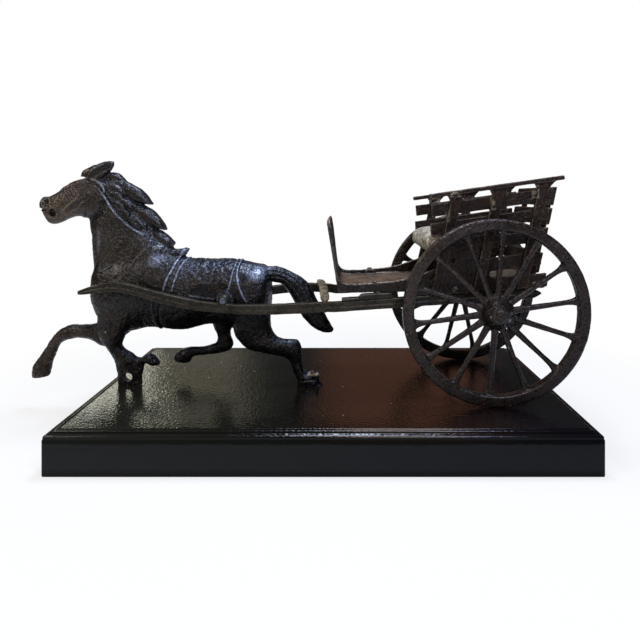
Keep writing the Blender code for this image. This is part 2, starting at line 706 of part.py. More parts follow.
def make_crossbar(iron, parent):
    """The flat bar laid across the shafts, slightly bowed, with a peg into each shaft."""
    left, right = CROSSBAR_ENDS[-1], CROSSBAR_ENDS[1]
    reach = SHAFT_Y + 2.0
    middle_z = (left[1] + right[1]) / 2 + CROSSBAR_BOW
    route = smooth_curve([(left[0], -reach, left[1]), (CROSSBAR_MIDDLE_X, 0.0, middle_z),
                          (right[0], reach, right[1])], 5)
    rings = []
    for x, y, z in route:
        u, w = to_cart(x, z)
        half = CROSSBAR_WIDTH / 2
        top = w + CROSSBAR_HEIGHT
        rings.append([(u - half, y, w + 0.6), (u - half + 0.8, y, w), (u + half - 0.8, y, w),
                      (u + half, y, w + 0.6), (u + half, y, top - 1.2), (u + half - 1.3, y, top),
                      (u - half + 1.3, y, top), (u - half, y, top - 1.2)])
    bm = bmesh.new()
    loft(bm, rings)
    bar = finish_mesh(bm, "bar")
    for sign, (x, z) in CROSSBAR_ENDS.items():
        u, w = to_cart(x, z)
        union(bar, rod("peg", PEG_RADIUS, w - SHAFT_HEIGHT - 1.0, w + 1.0,
                       (u, sign * SHAFT_Y, 0.0), 14, "Z"))
    return finished(bar, "shaft_crossbar", iron, 40, parent)


def make_bolster(side, iron, parent):
    """The packing piece on a shaft: a long strip with a taller block under the footboard."""
    sign = SIDES[side]
    low_w = SHAFT_TOP + SEAT_GAP
    strip = low_w + STRIP_HEIGHT - SEAT_GAP
    rear, block = BOLSTER_REAR, BOLSTER_BLOCK_FRONT
    flat_end = block + BOLSTER_BLOCK_FLAT
    under = footboard_underside(flat_end) - SEAT_GAP
    outline = ((BOLSTER_FRONT, low_w), (rear, low_w), (rear - 0.6, strip), (rear - 1.2, under - 0.3),
               (flat_end, under), (block, under), (block - BOLSTER_BLOCK_RAMP, strip), (BOLSTER_FRONT, strip))
    low, high = sorted((sign * (SHAFT_Y - SHAFT_THICKNESS / 2),
                        sign * (SHAFT_Y + SHAFT_THICKNESS / 2)))
    bolster = prism("bolster", outline, low, high)
    cut_rivet_holes(bolster, sign, BODY_RIVET_PLACES[:1])
    return finished(bolster, f"{side}_bolster", iron, 30, parent)


def footboard_underside(u):
    """Height of the foot floor's underside, which falls towards the rear."""
    fall = FOOT_FLOOR_BACK - FOOT_FLOOR_FRONT
    return FOOT_FLOOR_FRONT + fall * (u - FOOT_FLOOR_START) / (FOOT_FLOOR_END - FOOT_FLOOR_START)


def make_floor(iron, parent):
    """The floor casting: an upright dash, the foot floor and the bed, between two side flanges."""
    base = SHAFT_TOP + SEAT_GAP
    bed = [(CARGO_FLOOR_REAR, CARGO_FLOOR_TOP), (CARGO_FLOOR_REAR + 1.0, CARGO_FLOOR_TOP - 1.5),
           (CARGO_FLOOR_REAR, base), (FOOT_FLOOR_STEP, base)]
    under = [(u, footboard_underside(u)) for u in (FOOT_FLOOR_END, FOOT_FLOOR_START)]
    dash = [(DASH_FRONT, DASH_TOP - 3.0), (DASH_FRONT + 0.4, DASH_TOP - 0.8),
            (DASH_FRONT + 1.3, DASH_TOP), (DASH_FRONT + 2.2, DASH_TOP - 0.8)]
    inner = [(p[0], p[1]) for p in smooth_curve(FLOOR_TOP_CURVE, 3)]
    floor = prism("floor", inner + bed + under + dash, -FLOOR_HALF, FLOOR_HALF)
    edge = [(p[0], p[1]) for p in smooth_curve(FLANGE_TOP_CURVE, 3)]
    lowest = [(u, footboard_underside(u) + 1.0) for u in (FOOT_FLOOR_END, FOOT_FLOOR_START)]
    flange = edge + [(FLANGE_REAR, CARGO_FLOOR_TOP - 1.0), (FOOT_FLOOR_STEP, base + 1.0)] + lowest
    for sign in (-1, 1):
        low, high = sorted((sign * (FLOOR_HALF - FLANGE_WIDTH), sign * FLOOR_HALF))
        union(floor, prism("flange", flange, low, high), make_rivet_pad(sign))
        cut(floor, make_corner_cutter(sign))
        for u in RACK_RIVET_PLACES:
            low, high = sorted((sign * (FLOOR_HALF - RACK_RIVET_REACH), sign * FAR))
            cut(floor, rod("rivet_hole", RIVET_RADIUS + PIN_CLEARANCE, low, high,
                           (u, 0.0, RACK_RIVET_HEIGHT), 14))
        cut_rivet_holes(floor, sign, BODY_RIVET_PLACES)
    return finished(floor, "cart_floor", iron, 40, parent)


def make_rivet_pad(sign):
    """The raised pad inside a flange, with sloping ends, that a front rivet's head sits on."""
    u, half = BODY_RIVET_PLACES[0], PAD_HALF_LENGTH
    foot = CARGO_FLOOR_TOP
    outline = ((u - half - 1.0, foot), (u + half + 1.0, foot), (u + half, PAD_TOP),
               (u - half, PAD_TOP))
    low, high = sorted((sign * (FLOOR_HALF - PAD_WIDTH), sign * (FLOOR_HALF - FLANGE_WIDTH / 2)))
    return prism("pad", outline, low, high)


def make_corner_cutter(sign):
    """What is taken off a top corner of the dash to round it: a square corner less a round."""
    radius = DASH_CORNER_RADIUS
    centre_y, centre_w = sign * (FLOOR_HALF - radius), DASH_TOP - radius
    bm = bmesh.new()
    outline = [(sign * (FLOOR_HALF + 2.0), centre_w), (sign * (FLOOR_HALF + 2.0), DASH_TOP + 2.0),
               (centre_y, DASH_TOP + 2.0)]
    for i in range(7):
        turn = math.pi / 2 * (1 - i / 6)
        outline.append((centre_y + sign * radius * math.cos(turn),
                        centre_w + radius * math.sin(turn)))
    loft(bm, [[(u, y, w) for y, w in outline] for u in (-110.0, -90.0)])
    return finish_mesh(bm, "corner")


def rail_height(u, side):
    """Height of the top rail's upper face at a place along the cart."""
    return RAIL_HEIGHT - RACK_DROP[side] + RAIL_SLOPE * u


def post_outline(place, side):
    """A leaning post with flared fillets under the rail, from the sill to the rail."""
    half = POST_WIDTH / 2
    top = rail_height(place, side) - RAIL_THICKNESS / 2

    def at(w, edge, flare=0.0):
        return (place + POST_LEAN * (w - RAIL_HEIGHT) + edge * (half + flare), w)

    foot = PANEL_BOTTOM + 1.0
    right = [at(top - drop, 1, flare) for drop, flare in POST_FILLET]
    left = [at(top - drop, -1, flare) for drop, flare in reversed(POST_FILLET)]
    return [at(foot, -1), at(foot, 1)] + right + left


def make_rack(side, iron, parent):
    """A side of the cart: top rail, three leaning posts, slats and the solid lower panel."""
    sign = SIDES[side]

    def across(inner, outer):
        return sorted((sign * inner, sign * outer))

    def sloped(first, last, top, height):
        rise = RAIL_SLOPE * (last - first)
        return ((first, top), (last, top + rise), (last, top + rise - height), (first, top - height))

    post_y = across(RACK_Y - POST_THICKNESS / 2, RACK_Y + POST_THICKNESS / 2)
    slat_y = across(SLAT_OUTER_Y - SLAT_THICKNESS - SLAT_OVERLAP, SLAT_OUTER_Y)
    rail_y = across(RACK_Y - RAIL_WIDTH / 2, RACK_Y + RAIL_WIDTH / 2)
    rack = prism("rail", sloped(RAIL_START, RAIL_END, rail_height(RAIL_START, side), RAIL_THICKNESS),
                 *rail_y)
    for place in POST_PLACES:
        union(rack, prism("post", post_outline(place, side), *post_y))
    for first, last, top, height in SLATS:
        union(rack, prism("slat", sloped(first, last, top - RACK_DROP[side], height), *slat_y))
    front, rear = PANEL_FRONT, CARGO_FLOOR_REAR
    panel = prism("panel", ((front, PANEL_TOP), (PANEL_REAR, PANEL_TOP), (PANEL_REAR, SILL_TOP),
                            (rear - 1.0, SILL_TOP), (rear - 3.0, PANEL_BOTTOM),
                            (front - SILL_REACH, PANEL_BOTTOM), (front - SILL_REACH, SILL_TOP),
                            (front, SILL_TOP + SILL_REACH)), *slat_y)
    union(rack, panel)
    cut(rack, rod("hole", PANEL_HOLE_RADIUS, -FAR, FAR, (PANEL_HOLE[0], 0.0, PANEL_HOLE[1]), 16))
    cut(rack, rod("peg_hole", PEG_RADIUS + PIN_CLEARANCE, -FAR, FAR,
                  (SEAT_PEG[0], 0.0, SEAT_PEG[1]), 14))
    for u in RACK_RIVET_PLACES:
        cut(rack, rod("rivet_hole", RIVET_RADIUS + PIN_CLEARANCE, -FAR, FAR,
                      (u, 0.0, RACK_RIVET_HEIGHT), 14))
    return finished(rack, f"{side}_rack", iron, 35, parent)


def make_seat(iron, parent):
    """The driver's seat: a rounded roll across the cart, with a peg into each rack."""
    u, w = SEAT_CENTRE
    outline = []
    for i in range(24):
        turn = 2 * math.pi * i / 24
        c, s = math.cos(turn), math.sin(turn)
        outline.append((u + SEAT_HALF_LENGTH * math.copysign(abs(c) ** 0.8, c),
                        w + SEAT_HALF_HEIGHT * math.copysign(abs(s) ** 0.8, s)))
    seat = prism("seat", outline, -FLOOR_HALF, FLOOR_HALF)
    reach = SLAT_OUTER_Y - SEAT_GAP
    union(seat, rod("pegs", PEG_RADIUS, -reach, reach, (SEAT_PEG[0], 0.0, SEAT_PEG[1]), 14))
    return finished(seat, "seat", iron, 40, parent)


def make_tailgate(iron, parent):
    """The slatted tailboard: four boards across the cart, held by leaning stiles behind them."""

    def leaning(low_w, high_w, offset, thickness):
        def at(w, extra):
            return (TAILGATE_FOOT + POST_LEAN * (w - CARGO_FLOOR_TOP) + offset + extra, w)
        return (at(low_w, 0.0), at(low_w, thickness), at(high_w, thickness), at(high_w, 0.0))

    gate = None
    foot = CARGO_FLOOR_TOP + SEAT_GAP
    stile_y = STILE_SPACING / 2
    for y in (-stile_y, stile_y):
        stile = prism("stile", leaning(foot, STILE_TOP, TAILGATE_THICKNESS - 0.5, TAILGATE_THICKNESS),
                      y - STILE_WIDTH / 2, y + STILE_WIDTH / 2)
        if gate is None:
            gate = stile
        else:
            others = [prism("board", leaning(low, high, 0.0, TAILGATE_THICKNESS),
                            -FLOOR_HALF, FLOOR_HALF) for low, high in TAIL_BOARDS]
            union(gate, others[0])
            union(gate, stile, *others[1:])
    return finished(gate, "tailgate", iron, 30, parent)


def make_rivet(name, radius, head_radius, head_height, seat, tip, centre, sign, axis, iron, parent):
    """A rivet: a domed head at `seat` and a shank to `tip`; sign -1 turns the head to the low end."""
    dome = [(head_radius * math.cos(t), head_height * math.sin(t))
            for t in (0.0, 0.45, 0.9, 1.3)]
    profile = [(radius, tip), (radius, seat)] + [(r, seat + sign * h) for r, h in dome]
    rivet = turned("rivet", profile, centre, 16, axis)
    return finished(rivet, name, iron, 50, parent)


def make_pivot_pin(iron):
    """The pin through both halves of the horse and both shaft ears, headed over at each end."""
    seat = SHAFT_SIDE_AT_PIVOT + SHAFT_THICKNESS / 2 + SEAT_GAP
    dome = [(PIN_HEAD_RADIUS * math.cos(t), seat + PIN_HEAD_HEIGHT * math.sin(t))
            for t in (0.0, 0.4, 0.8, 1.2, 1.45)]
    profile = ([(r, -y) for r, y in reversed(dome)] + [(PIN_RADIUS, -seat), (PIN_RADIUS, seat)]
               + dome)
    return finished(turned("pin", profile, (PIVOT_X, 0.0, PIVOT_Z), 24), "pivot_pin", iron, 40)


def make_front_rivet(iron):
    """The flush rivet through the horse's shoulders."""
    reach = FRONT_RIVET_REACH
    profile = ((PIN_RADIUS - 0.5, -reach), (PIN_RADIUS, -reach + 0.5),
               (PIN_RADIUS, reach - 0.5), (PIN_RADIUS - 0.5, reach))
    rivet = turned("rivet", profile, (FRONT_RIVET_X, 0.0, FRONT_RIVET_Z), 20)
    return finished(rivet, "horse_front_rivet", iron, 40)


def make_wheel(side, iron, parent):
    """A spoked wheel turned about its own origin: a rim, a hub with a nose, and tapered spokes."""
    sign = SIDES[side]
    rim_inner = WHEEL_RADIUS - RIM_DEPTH
    half = TREAD_WIDTH / 2
    bm = bmesh.new()
    ring_profile = ((rim_inner, -half + 0.8), (rim_inner + 0.9, -half), (WHEEL_RADIUS - 0.7, -half),
                    (WHEEL_RADIUS, 0.0), (WHEEL_RADIUS - 0.7, half), (rim_inner + 0.9, half),
                    (rim_inner, half - 0.8))
    segments = 4 * SPOKE_COUNT
    loops = []
    for i in range(segments):
        turn = 2 * math.pi * i / segments
        loops.append([bm.verts.new((r * math.cos(turn), y, r * math.sin(turn)))
                      for r, y in ring_profile])
    count = len(ring_profile)
    for i in range(segments):
        one, two = loops[i], loops[(i + 1) % segments]
        for j in range(count):
            k = (j + 1) % count
            bm.faces.new((one[j], one[k], two[k], two[j]))
    wheel = finish_mesh(bm, "rim")
    hub_profile = [(HUB_RADIUS - 1.0, -HUB_INNER_LENGTH), (HUB_RADIUS, -HUB_INNER_LENGTH + 1.0),
                   (HUB_RADIUS, 3.4), (HUB_RADIUS - 0.7, 5.6), (HUB_NOSE_RADIUS + 0.6, 7.4),
                   (HUB_NOSE_RADIUS, HUB_NOSE_LENGTH)]
    hub_profile = [(r, sign * y) for r, y in hub_profile]
    union(wheel, turned("hub", hub_profile, (0.0, 0.0, 0.0), 28))
    for i in range(SPOKE_COUNT):
        turn = math.radians(SPOKE_FIRST_DEG[side] + 360.0 * i / SPOKE_COUNT)
        union(wheel, make_spoke(turn, sign, rim_inner))
    cut(wheel, rod("bore", AXLE_RADIUS + PIN_CLEARANCE, -FAR, FAR, (0.0, 0.0, 0.0), 24))
    return finished(wheel, f"{side}_wheel", iron, 35, parent)


def make_spoke(turn, sign, rim_inner):
    """A tapered spoke from inside the hub to inside the rim, spread where it meets the rim."""
    stations = ((HUB_RADIUS - 3.0, SPOKE_HUB_WIDTH, SPOKE_THICKNESS),
                (rim_inner - 4.0, SPOKE_RIM_WIDTH, SPOKE_THICKNESS - 0.6),
                (rim_inner + 2.0, SPOKE_RIM_WIDTH + SPOKE_FLARE, SPOKE_THICKNESS))
    along = Vector((math.sin(turn), 0.0, math.cos(turn)))
    side = Vector((math.cos(turn), 0.0, -math.sin(turn)))
    across = Vector((0.0, sign, 0.0))
    rings = []
    for radius, width, thickness in stations:
        a, b = width / 2, thickness / 2
        shape = ((-a, 0.0), (-0.6 * a, -b), (0.6 * a, -b), (a, 0.0), (0.6 * a, b), (-0.6 * a, b))
        rings.append([along * radius + side * p + across * q for p, q in shape])
    bm = bmesh.new()
    loft(bm, rings)
    return finish_mesh(bm, "spoke")


def make_axle(iron, parent):
    """The axle: a rod through both lugs and both hubs, its ends peened over the washers."""
    nose = WHEEL_Y + HUB_NOSE_LENGTH
    washer_end = nose + WASHER_THICKNESS + 2 * SEAT_GAP
    end = washer_end + AXLE_END_LENGTH
    profile = ((AXLE_END_RADIUS - 0.8, -end), (AXLE_END_RADIUS, -end + 0.6),
               (AXLE_END_RADIUS, -washer_end), (AXLE_RADIUS, -washer_end),
               (AXLE_RADIUS, washer_end), (AXLE_END_RADIUS, washer_end),
               (AXLE_END_RADIUS, end - 0.6), (AXLE_END_RADIUS - 0.8, end))
    return finished(turned("axle", profile, (0.0, 0.0, 0.0), 24), "axle", iron, 40, parent)


def make_washer(side, iron, parent):
    """The washer between a hub's nose and the axle's peened end."""
    sign = SIDES[side]
    start = WHEEL_Y + HUB_NOSE_LENGTH + SEAT_GAP
    low, high = sorted((sign * start, sign * (start + WASHER_THICKNESS)))
    washer = rod("washer", WASHER_RADIUS, low, high, (0.0, 0.0, 0.0), 24)
    cut(washer, rod("bore", AXLE_RADIUS + PIN_CLEARANCE, -FAR, FAR, (0.0, 0.0, 0.0), 24))
    return finished(washer, f"{side}_washer", iron, 35, parent)


def main():
    for obj in list(bpy.data.objects):
        bpy.data.objects.remove(obj)

    wood = principled("black_lacquered_wood", (0.012, 0.012, 0.013), 0.22, 0.0)
    horse_iron = principled("horse_cast_iron", (0.052, 0.040, 0.033), 0.48, 0.75)
    shaft_iron = principled("shaft_cast_iron", (0.075, 0.062, 0.045), 0.50, 0.75)
    cart_iron = principled("cart_cast_iron", (0.062, 0.045, 0.035), 0.52, 0.75)
    wheel_iron = principled("wheel_cast_iron", (0.090, 0.076, 0.064), 0.52, 0.75)
    pale_iron = principled("cream_painted_iron", (0.60, 0.52, 0.42), 0.60, 0.0)
    steel = principled("plain_steel", (0.35, 0.34, 0.32), 0.40, 1.0)

    make_board(wood)
    make_screw("mounting_screw_front", FRONT_SCREW_X, FRONT_SCREW_TOP, steel)
    make_screw("mounting_screw_rear", REAR_SCREW_X, REAR_SCREW_TOP, steel)
    body = make_horse_body()
    for side in SIDES:
        make_horse_half(body, side, horse_iron)
    bpy.data.objects.remove(body)
    make_pivot_pin(horse_iron)
    make_front_rivet(horse_iron)

    cart_pivot = empty("cart_pivot", (PIVOT_X, 0.0, PIVOT_Z))
    cart = empty("cart_frame", (AXLE_X - PIVOT_X, 0.0, AXLE_Z - PIVOT_Z), cart_pivot, CART_PITCH)
    for side, sign in SIDES.items():
        make_shaft(side, shaft_iron, cart)
        make_bolster(side, shaft_iron, cart)
        make_rack(side, cart_iron, cart)
        make_washer(side, wheel_iron, cart)
        wheel = make_wheel(side, wheel_iron, cart)
        wheel.location = (0.0, sign * WHEEL_Y * MM, 0.0)
        wheel.rotation_euler = (0.0, CART_PITCH, 0.0)
        for u, place in zip(BODY_RIVET_PLACES, ("front", "rear")):
            floor_top = PAD_TOP if place == "front" else CARGO_FLOOR_TOP
            make_rivet(f"{side}_body_rivet_{place}", RIVET_RADIUS, RIVET_HEAD_RADIUS,
                       RIVET_HEAD_HEIGHT, floor_top + SEAT_GAP, SHAFT_BASE + RIVET_TIP_DEPTH,
                       (u, sign * BODY_RIVET_Y, 0.0), 1, "Z", cart_iron, cart)
        for u, place in zip(RACK_RIVET_PLACES, ("front", "rear")):
            seat = sign * (SLAT_OUTER_Y + SEAT_GAP)
            tip = sign * (RACK_INNER_Y - RACK_RIVET_REACH)
            make_rivet(f"{side}_rack_rivet_{place}", RIVET_RADIUS, RIVET_HEAD_RADIUS,
                       RIVET_HEAD_HEIGHT, seat, tip, (u, 0.0, RACK_RIVET_HEIGHT), sign, "Y",
                       cart_iron, cart)
    make_crossbar(pale_iron, cart)
    make_floor(cart_iron, cart)
    make_seat(pale_iron, cart)
    make_tailgate(cart_iron, cart)
    make_axle(wheel_iron, cart)


main()
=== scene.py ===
import json
import math

import bmesh
import bpy
import numpy as np
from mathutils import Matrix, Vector

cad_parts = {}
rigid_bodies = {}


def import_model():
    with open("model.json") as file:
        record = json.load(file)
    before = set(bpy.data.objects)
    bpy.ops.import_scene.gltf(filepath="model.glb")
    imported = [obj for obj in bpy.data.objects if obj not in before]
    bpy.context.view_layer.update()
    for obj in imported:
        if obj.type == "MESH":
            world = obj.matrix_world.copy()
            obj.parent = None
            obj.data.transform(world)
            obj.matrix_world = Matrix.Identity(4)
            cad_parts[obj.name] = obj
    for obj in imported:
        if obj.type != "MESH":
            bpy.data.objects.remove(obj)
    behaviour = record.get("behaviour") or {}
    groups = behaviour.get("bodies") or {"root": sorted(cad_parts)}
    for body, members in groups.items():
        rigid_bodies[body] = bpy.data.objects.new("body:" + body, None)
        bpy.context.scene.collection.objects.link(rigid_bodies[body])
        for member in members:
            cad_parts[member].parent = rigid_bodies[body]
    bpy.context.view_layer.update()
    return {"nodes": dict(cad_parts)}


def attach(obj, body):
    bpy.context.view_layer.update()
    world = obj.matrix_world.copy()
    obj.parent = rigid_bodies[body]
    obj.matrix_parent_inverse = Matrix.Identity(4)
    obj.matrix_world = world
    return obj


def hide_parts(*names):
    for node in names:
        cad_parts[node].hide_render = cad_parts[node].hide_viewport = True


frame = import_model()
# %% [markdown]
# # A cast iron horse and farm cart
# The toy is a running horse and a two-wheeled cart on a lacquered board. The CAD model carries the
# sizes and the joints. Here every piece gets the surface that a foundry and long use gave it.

MM = 0.001

# %% [markdown]
# ## Colours and nodes
# Colours are written as they look on screen, in sRGB hex, and one function turns them to the linear
# light that shaders count in. One more function adds a node with its settings and links, so that a
# material reads as a short list.

# %% Colours and nodes


def linear(code):
    """Linear RGBA of an sRGB hex colour: c / 12.92 near black, else ((c + 0.055) / 1.055) ** 2.4."""
    s = np.array([int(code[i:i + 2], 16) for i in (1, 3, 5)]) / 255
    return (*np.where(s <= 0.04045, s / 12.92, ((s + 0.055) / 1.055) ** 2.4).tolist(), 1.0)


def add(tree, kind, links=None, values=None, **settings):
    """Add a node: `settings` are its properties, `values` fill sockets and `links` feed them."""
    node = tree.nodes.new(kind)
    for key, value in settings.items():
        setattr(node, key, value)
    for key, value in (values or {}).items():
        node.inputs[key].default_value = value
    for key, source in (links or {}).items():
        tree.links.new(source, node.inputs[key])
    return node


def ramp(tree, source, stops):
    """A colour ramp fed by `source`; each stop is (place, sRGB hex)."""
    node = add(tree, "ShaderNodeValToRGB", {"Fac": source})
    points = node.color_ramp.elements
    while len(points) < len(stops):
        points.new(0.5)
    for point, (place, code) in zip(points, stops):
        point.position = place
        point.color = linear(code)
    return node.outputs["Color"]


def per_metre(size_mm):
    """Scale of a texture whose features are `size_mm` across, since Object coordinates are metres."""
    return 1.0 / (size_mm * MM)


print("grey #808080 is", round(linear("#808080")[0], 3), "of white light")

# %% [markdown]
# ## Surfaces from numbers
# Each new piece is a grid of points: rings of equally many places. Numpy works out all the points
# at once, and the faces follow from the order of the grid alone. Curves between a few measured
# points are Catmull-Rom curves, which pass through every point.

# %% Curves and skins


def curve(points, steps):
    """Catmull-Rom curve: four points weighted by cubics in t, `steps` values of t to each span."""
    p = np.asarray(points, float)
    p = np.vstack([2 * p[0] - p[1], p, 2 * p[-1] - p[-2]])
    t = (np.arange(steps) / steps)[None, :, None]
    a, b, c, d = (p[i:len(p) - 3 + i, None, :] for i in range(4))
    line = 0.5 * (2 * b + (c - a) * t + (2 * a - 5 * b + 4 * c - d) * t ** 2
                  + (3 * b - a - 3 * c + d) * t ** 3)
    return np.vstack([line.reshape(-1, p.shape[1]), p[-2]])


def skin(grid, closed=False):
    """Quads between neighbouring rings of a (ring, place, xyz) grid, and a cap on each open end."""
    rings, places = grid.shape[:2]
    index = np.arange(rings * places).reshape(rings, places)
    here = index if closed else index[:-1]
    there = np.roll(index, -1, axis=0)[:len(here)]
    quads = np.stack([here, np.roll(here, -1, 1), np.roll(there, -1, 1), there], -1)
    sizes, corners = [np.full(quads.size // 4, 4)], [quads.ravel()]
    if not closed:
        sizes.append(np.array([places, places]))
        corners += [index[0][::-1], index[-1]]
    return grid.reshape(-1, 3), np.concatenate(sizes), np.concatenate(corners)


def plate(outline, low, high):
    """An outline in X-Z carried straight across from y = low to y = high."""
    xz = np.asarray(outline, float)
    ring = np.stack([xz[:, 0], np.zeros(len(xz)), xz[:, 1]], -1)
    return skin(np.stack([ring + (0, y, 0) for y in (low, high)]))


def turned(profile, centre=(0, 0, 0), places=96, closed=False, axis="Y"):
    """A profile of (radius, along) pairs turned about an axis: radius * (cos, sin), then along."""
    radius, along = np.asarray(profile, float).T[..., None]
    turn = np.linspace(0, 2 * np.pi, places, endpoint=False)
    across, up = radius * np.cos(turn), radius * np.sin(turn)
    flat = along + np.zeros(places)
    parts = (across, flat, up) if axis == "Y" else (across, up, flat)
    return skin(np.stack(parts, -1) + np.asarray(centre, float), closed)


# %% [markdown]
# ## From points to pieces
# `build` puts points and faces into a mesh and turns the faces outwards. `fuse` is how a pattern
# maker blends wax or wood: the overlapping lumps are measured on a fine lattice of cubes (a voxel
# remesh) and then smoothed, which leaves the small round fillets that molten iron needs. `finish`
# names the piece, says which part of the toy it moves with, and gives it its material.

# %% Build, fuse, bore and finish


def build(name, *parts):
    """One mesh from several skins: the second skin's corner numbers start after the first's points."""
    starts = np.cumsum([0] + [len(part[0]) for part in parts])
    points = np.concatenate([part[0] for part in parts]) * MM
    sizes = np.concatenate([part[1] for part in parts])
    corners = np.concatenate([part[2] + start for part, start in zip(parts, starts)])
    mesh = bpy.data.meshes.new(name)
    mesh.vertices.add(len(points))
    mesh.vertices.foreach_set("co", points.ravel())
    mesh.loops.add(len(corners))
    mesh.loops.foreach_set("vertex_index", corners)
    mesh.polygons.add(len(sizes))
    mesh.polygons.foreach_set("loop_start", np.cumsum(sizes) - sizes)
    mesh.update(calc_edges=True)
    solid = bmesh.new()
    solid.from_mesh(mesh)
    bmesh.ops.recalc_face_normals(solid, faces=solid.faces)
    solid.to_mesh(mesh)
    solid.free()
    obj = bpy.data.objects.new(name, mesh)
    bpy.context.scene.collection.objects.link(obj)
    return obj


def bake(obj):
    """Keep the shape that the modifiers give and drop the modifiers."""
    shape = obj.evaluated_get(bpy.context.evaluated_depsgraph_get())
    mesh = bpy.data.meshes.new_from_object(shape)
    obj.modifiers.clear()
    obj.data = mesh
    return obj


def fuse(obj, voxel, rounds=3):
    """Voxel remesh at `voxel` mm, then `rounds` passes that move each point half way to its fellows."""
    remesh = obj.modifiers.new("Fuse", "REMESH")
    remesh.mode, remesh.voxel_size = "VOXEL", voxel * MM
    soften = obj.modifiers.new("Soften", "SMOOTH")
    soften.factor, soften.iterations = 0.5, rounds
    return bake(obj)


def join(obj, *others):
    """Put the points and faces of other pieces into the first one's mesh, then remove them."""
    joined = bmesh.new()
    for piece in (obj, *others):
        joined.from_mesh(piece.data)
    joined.to_mesh(obj.data)
    joined.free()
    for other in others:
        bpy.data.objects.remove(other)
    return obj


def combine(obj, operation, *others):
    """Join, cut or intersect with each of the other solids, then remove them."""
    for other in others:
        step = obj.modifiers.new("Combine", "BOOLEAN")
        step.operation, step.solver, step.object = operation, "MANIFOLD", other
        bake(obj)
        bpy.data.objects.remove(other)
    return obj


def bore(obj, radius, low, high, centre, axis="Y"):
    """Drill a round hole between two places along an axis."""
    return combine(obj, "DIFFERENCE", build("bit", turned([(radius, low), (radius, high)],
                                                          centre, 40, axis=axis)))


def finish(obj, name, body, material, slot, *nodes, sharp=180.0):
    """Name a piece, shade it round up to `sharp` degrees, and put it in the place of CAD nodes."""
    obj.name = obj.data.name = name
    obj.data.materials.clear()
    obj.data.materials.append(material)
    obj.data.shade_smooth()
    if sharp < 180:
        obj.data.set_sharp_from_angle(angle=math.radians(sharp))
    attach(obj, body)
    if nodes:
        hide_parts(*nodes)
    print(f"{name}: {sum(len(p.vertices) - 2 for p in obj.data.polygons)} triangles")
    return obj


# %% [markdown]
# ## Unevenness
# A sand mould is never quite smooth, so a casting waves by a tenth of a millimetre or two. The waves
# are a lattice of random heights, with each point blended from the eight lattice corners round it.
# The seeds are fixed, so the toy comes out the same each time.

# %% Waves of a sand casting


def waves(points, size, seed):
    """Random heights from -1 to 1 on a lattice `size` mm apart, blended by 3t^2 - 2t^3."""
    lattice = np.random.default_rng(seed).uniform(-1, 1, (64, 64, 64))
    place = points / size
    cell = np.floor(place).astype(int)
    t = place - cell
    t = t * t * (3 - 2 * t)
    height = np.zeros(len(points))
    for corner in np.ndindex(2, 2, 2):
        weight = np.prod(np.where(corner, t, 1 - t), axis=1)
        height += weight * lattice[tuple(((cell + corner) % 64).T)]
    return height


def read_points(obj):
    """The mesh's points in mm and their normals, as two arrays."""
    count = len(obj.data.vertices)
    points, normals = np.empty(3 * count, np.float32), np.empty(3 * count, np.float32)
    obj.data.vertices.foreach_get("co", points)
    obj.data.vertex_normals.foreach_get("vector", normals)
    return points.reshape(-1, 3).astype(float) / MM, normals.reshape(-1, 3).astype(float)


def write_points(obj, points):
    """Put changed points back into the mesh."""
    obj.data.vertices.foreach_set("co", (points * MM).astype(np.float32).ravel())
    obj.data.update()


def roughen(obj, coarse=0.12, fine=0.05, seed=1):
    """Move each point along its normal by waves 4 mm and 1.3 mm across."""
    points, normals = read_points(obj)
    height = coarse * waves(points, 4.0, seed) + fine * waves(points, 1.3, seed + 1)
    write_points(obj, points + normals * height[:, None])
    return obj


# %% [markdown]
# ## Old cast iron
# Grey iron, poured in sand, then japanned or left to darken. It gives the eye three things: a dark
# film that is thicker in the hollows, a grain of small pits from the sand, and edges that handling
# has rubbed brighter and smoother, their brightness partly a painted highlight. The film is thin, so
# part of the light comes back from the metal under it: the metallic value lies between a paint's and
# a bare metal's. The colour drifts along the toy, so the film's colour is a ramp over X, and near the
# board the film is darker and duller as painted shade. Faces that look up carry a thin bloom of dust
# and a painted bluish sheen of the sky above. Two numbers kept at a mesh's points, "carved" and
# "paint", tell the finish where straps stand out, where lines are sunk, where painted highlights and
# painted shade lie, and where painted glints are; a mesh without them counts as 0.

# %% Cast iron


def noise(tree, here, size_mm, detail=3.0, roughness=0.6):
    """Noise with features of the given size; its values gather round 0.5."""
    return add(tree, "ShaderNodeTexNoise", {"Vector": here},
               {"Scale": per_metre(size_mm), "Detail": detail, "Roughness": roughness}).outputs["Fac"]


def stretch(tree, value, low, high, to_low=0.0, to_high=1.0):
    """Map low..high to to_low..to_high and hold the ends."""
    return add(tree, "ShaderNodeMapRange", {"Value": value},
               {"From Min": low, "From Max": high, "To Min": to_low, "To Max": to_high}).outputs[0]


def math_node(tree, operation, one, two):
    """One sum on two values, each a socket or a number."""
    node = add(tree, "ShaderNodeMath", operation=operation)
    for place, value in enumerate((one, two)):
        if isinstance(value, float):
            node.inputs[place].default_value = value
        else:
            tree.links.new(value, node.inputs[place])
    return node.outputs[0]


def blend(tree, factor, under, over, blend_type="MIX"):
    """Lay a colour over another; `factor` and `over` are sockets, or a number and a hex colour."""
    node = add(tree, "ShaderNodeMix", {6: under}, data_type="RGBA", blend_type=blend_type)
    for place, value in ((0, factor), (7, over)):
        if isinstance(value, str):
            node.inputs[place].default_value = linear(value)
        elif isinstance(value, float):
            node.inputs[place].default_value = value
        else:
            tree.links.new(value, node.inputs[place])
    return node.outputs[2]


def new_material(name):
    """An empty Principled material: the material, its tree, its shader and the Object coordinates."""
    material = bpy.data.materials.new(name)
    material.use_nodes = True
    tree = material.node_tree
    coordinates = add(tree, "ShaderNodeTexCoord")
    return material, tree, tree.nodes["Principled BSDF"], coordinates


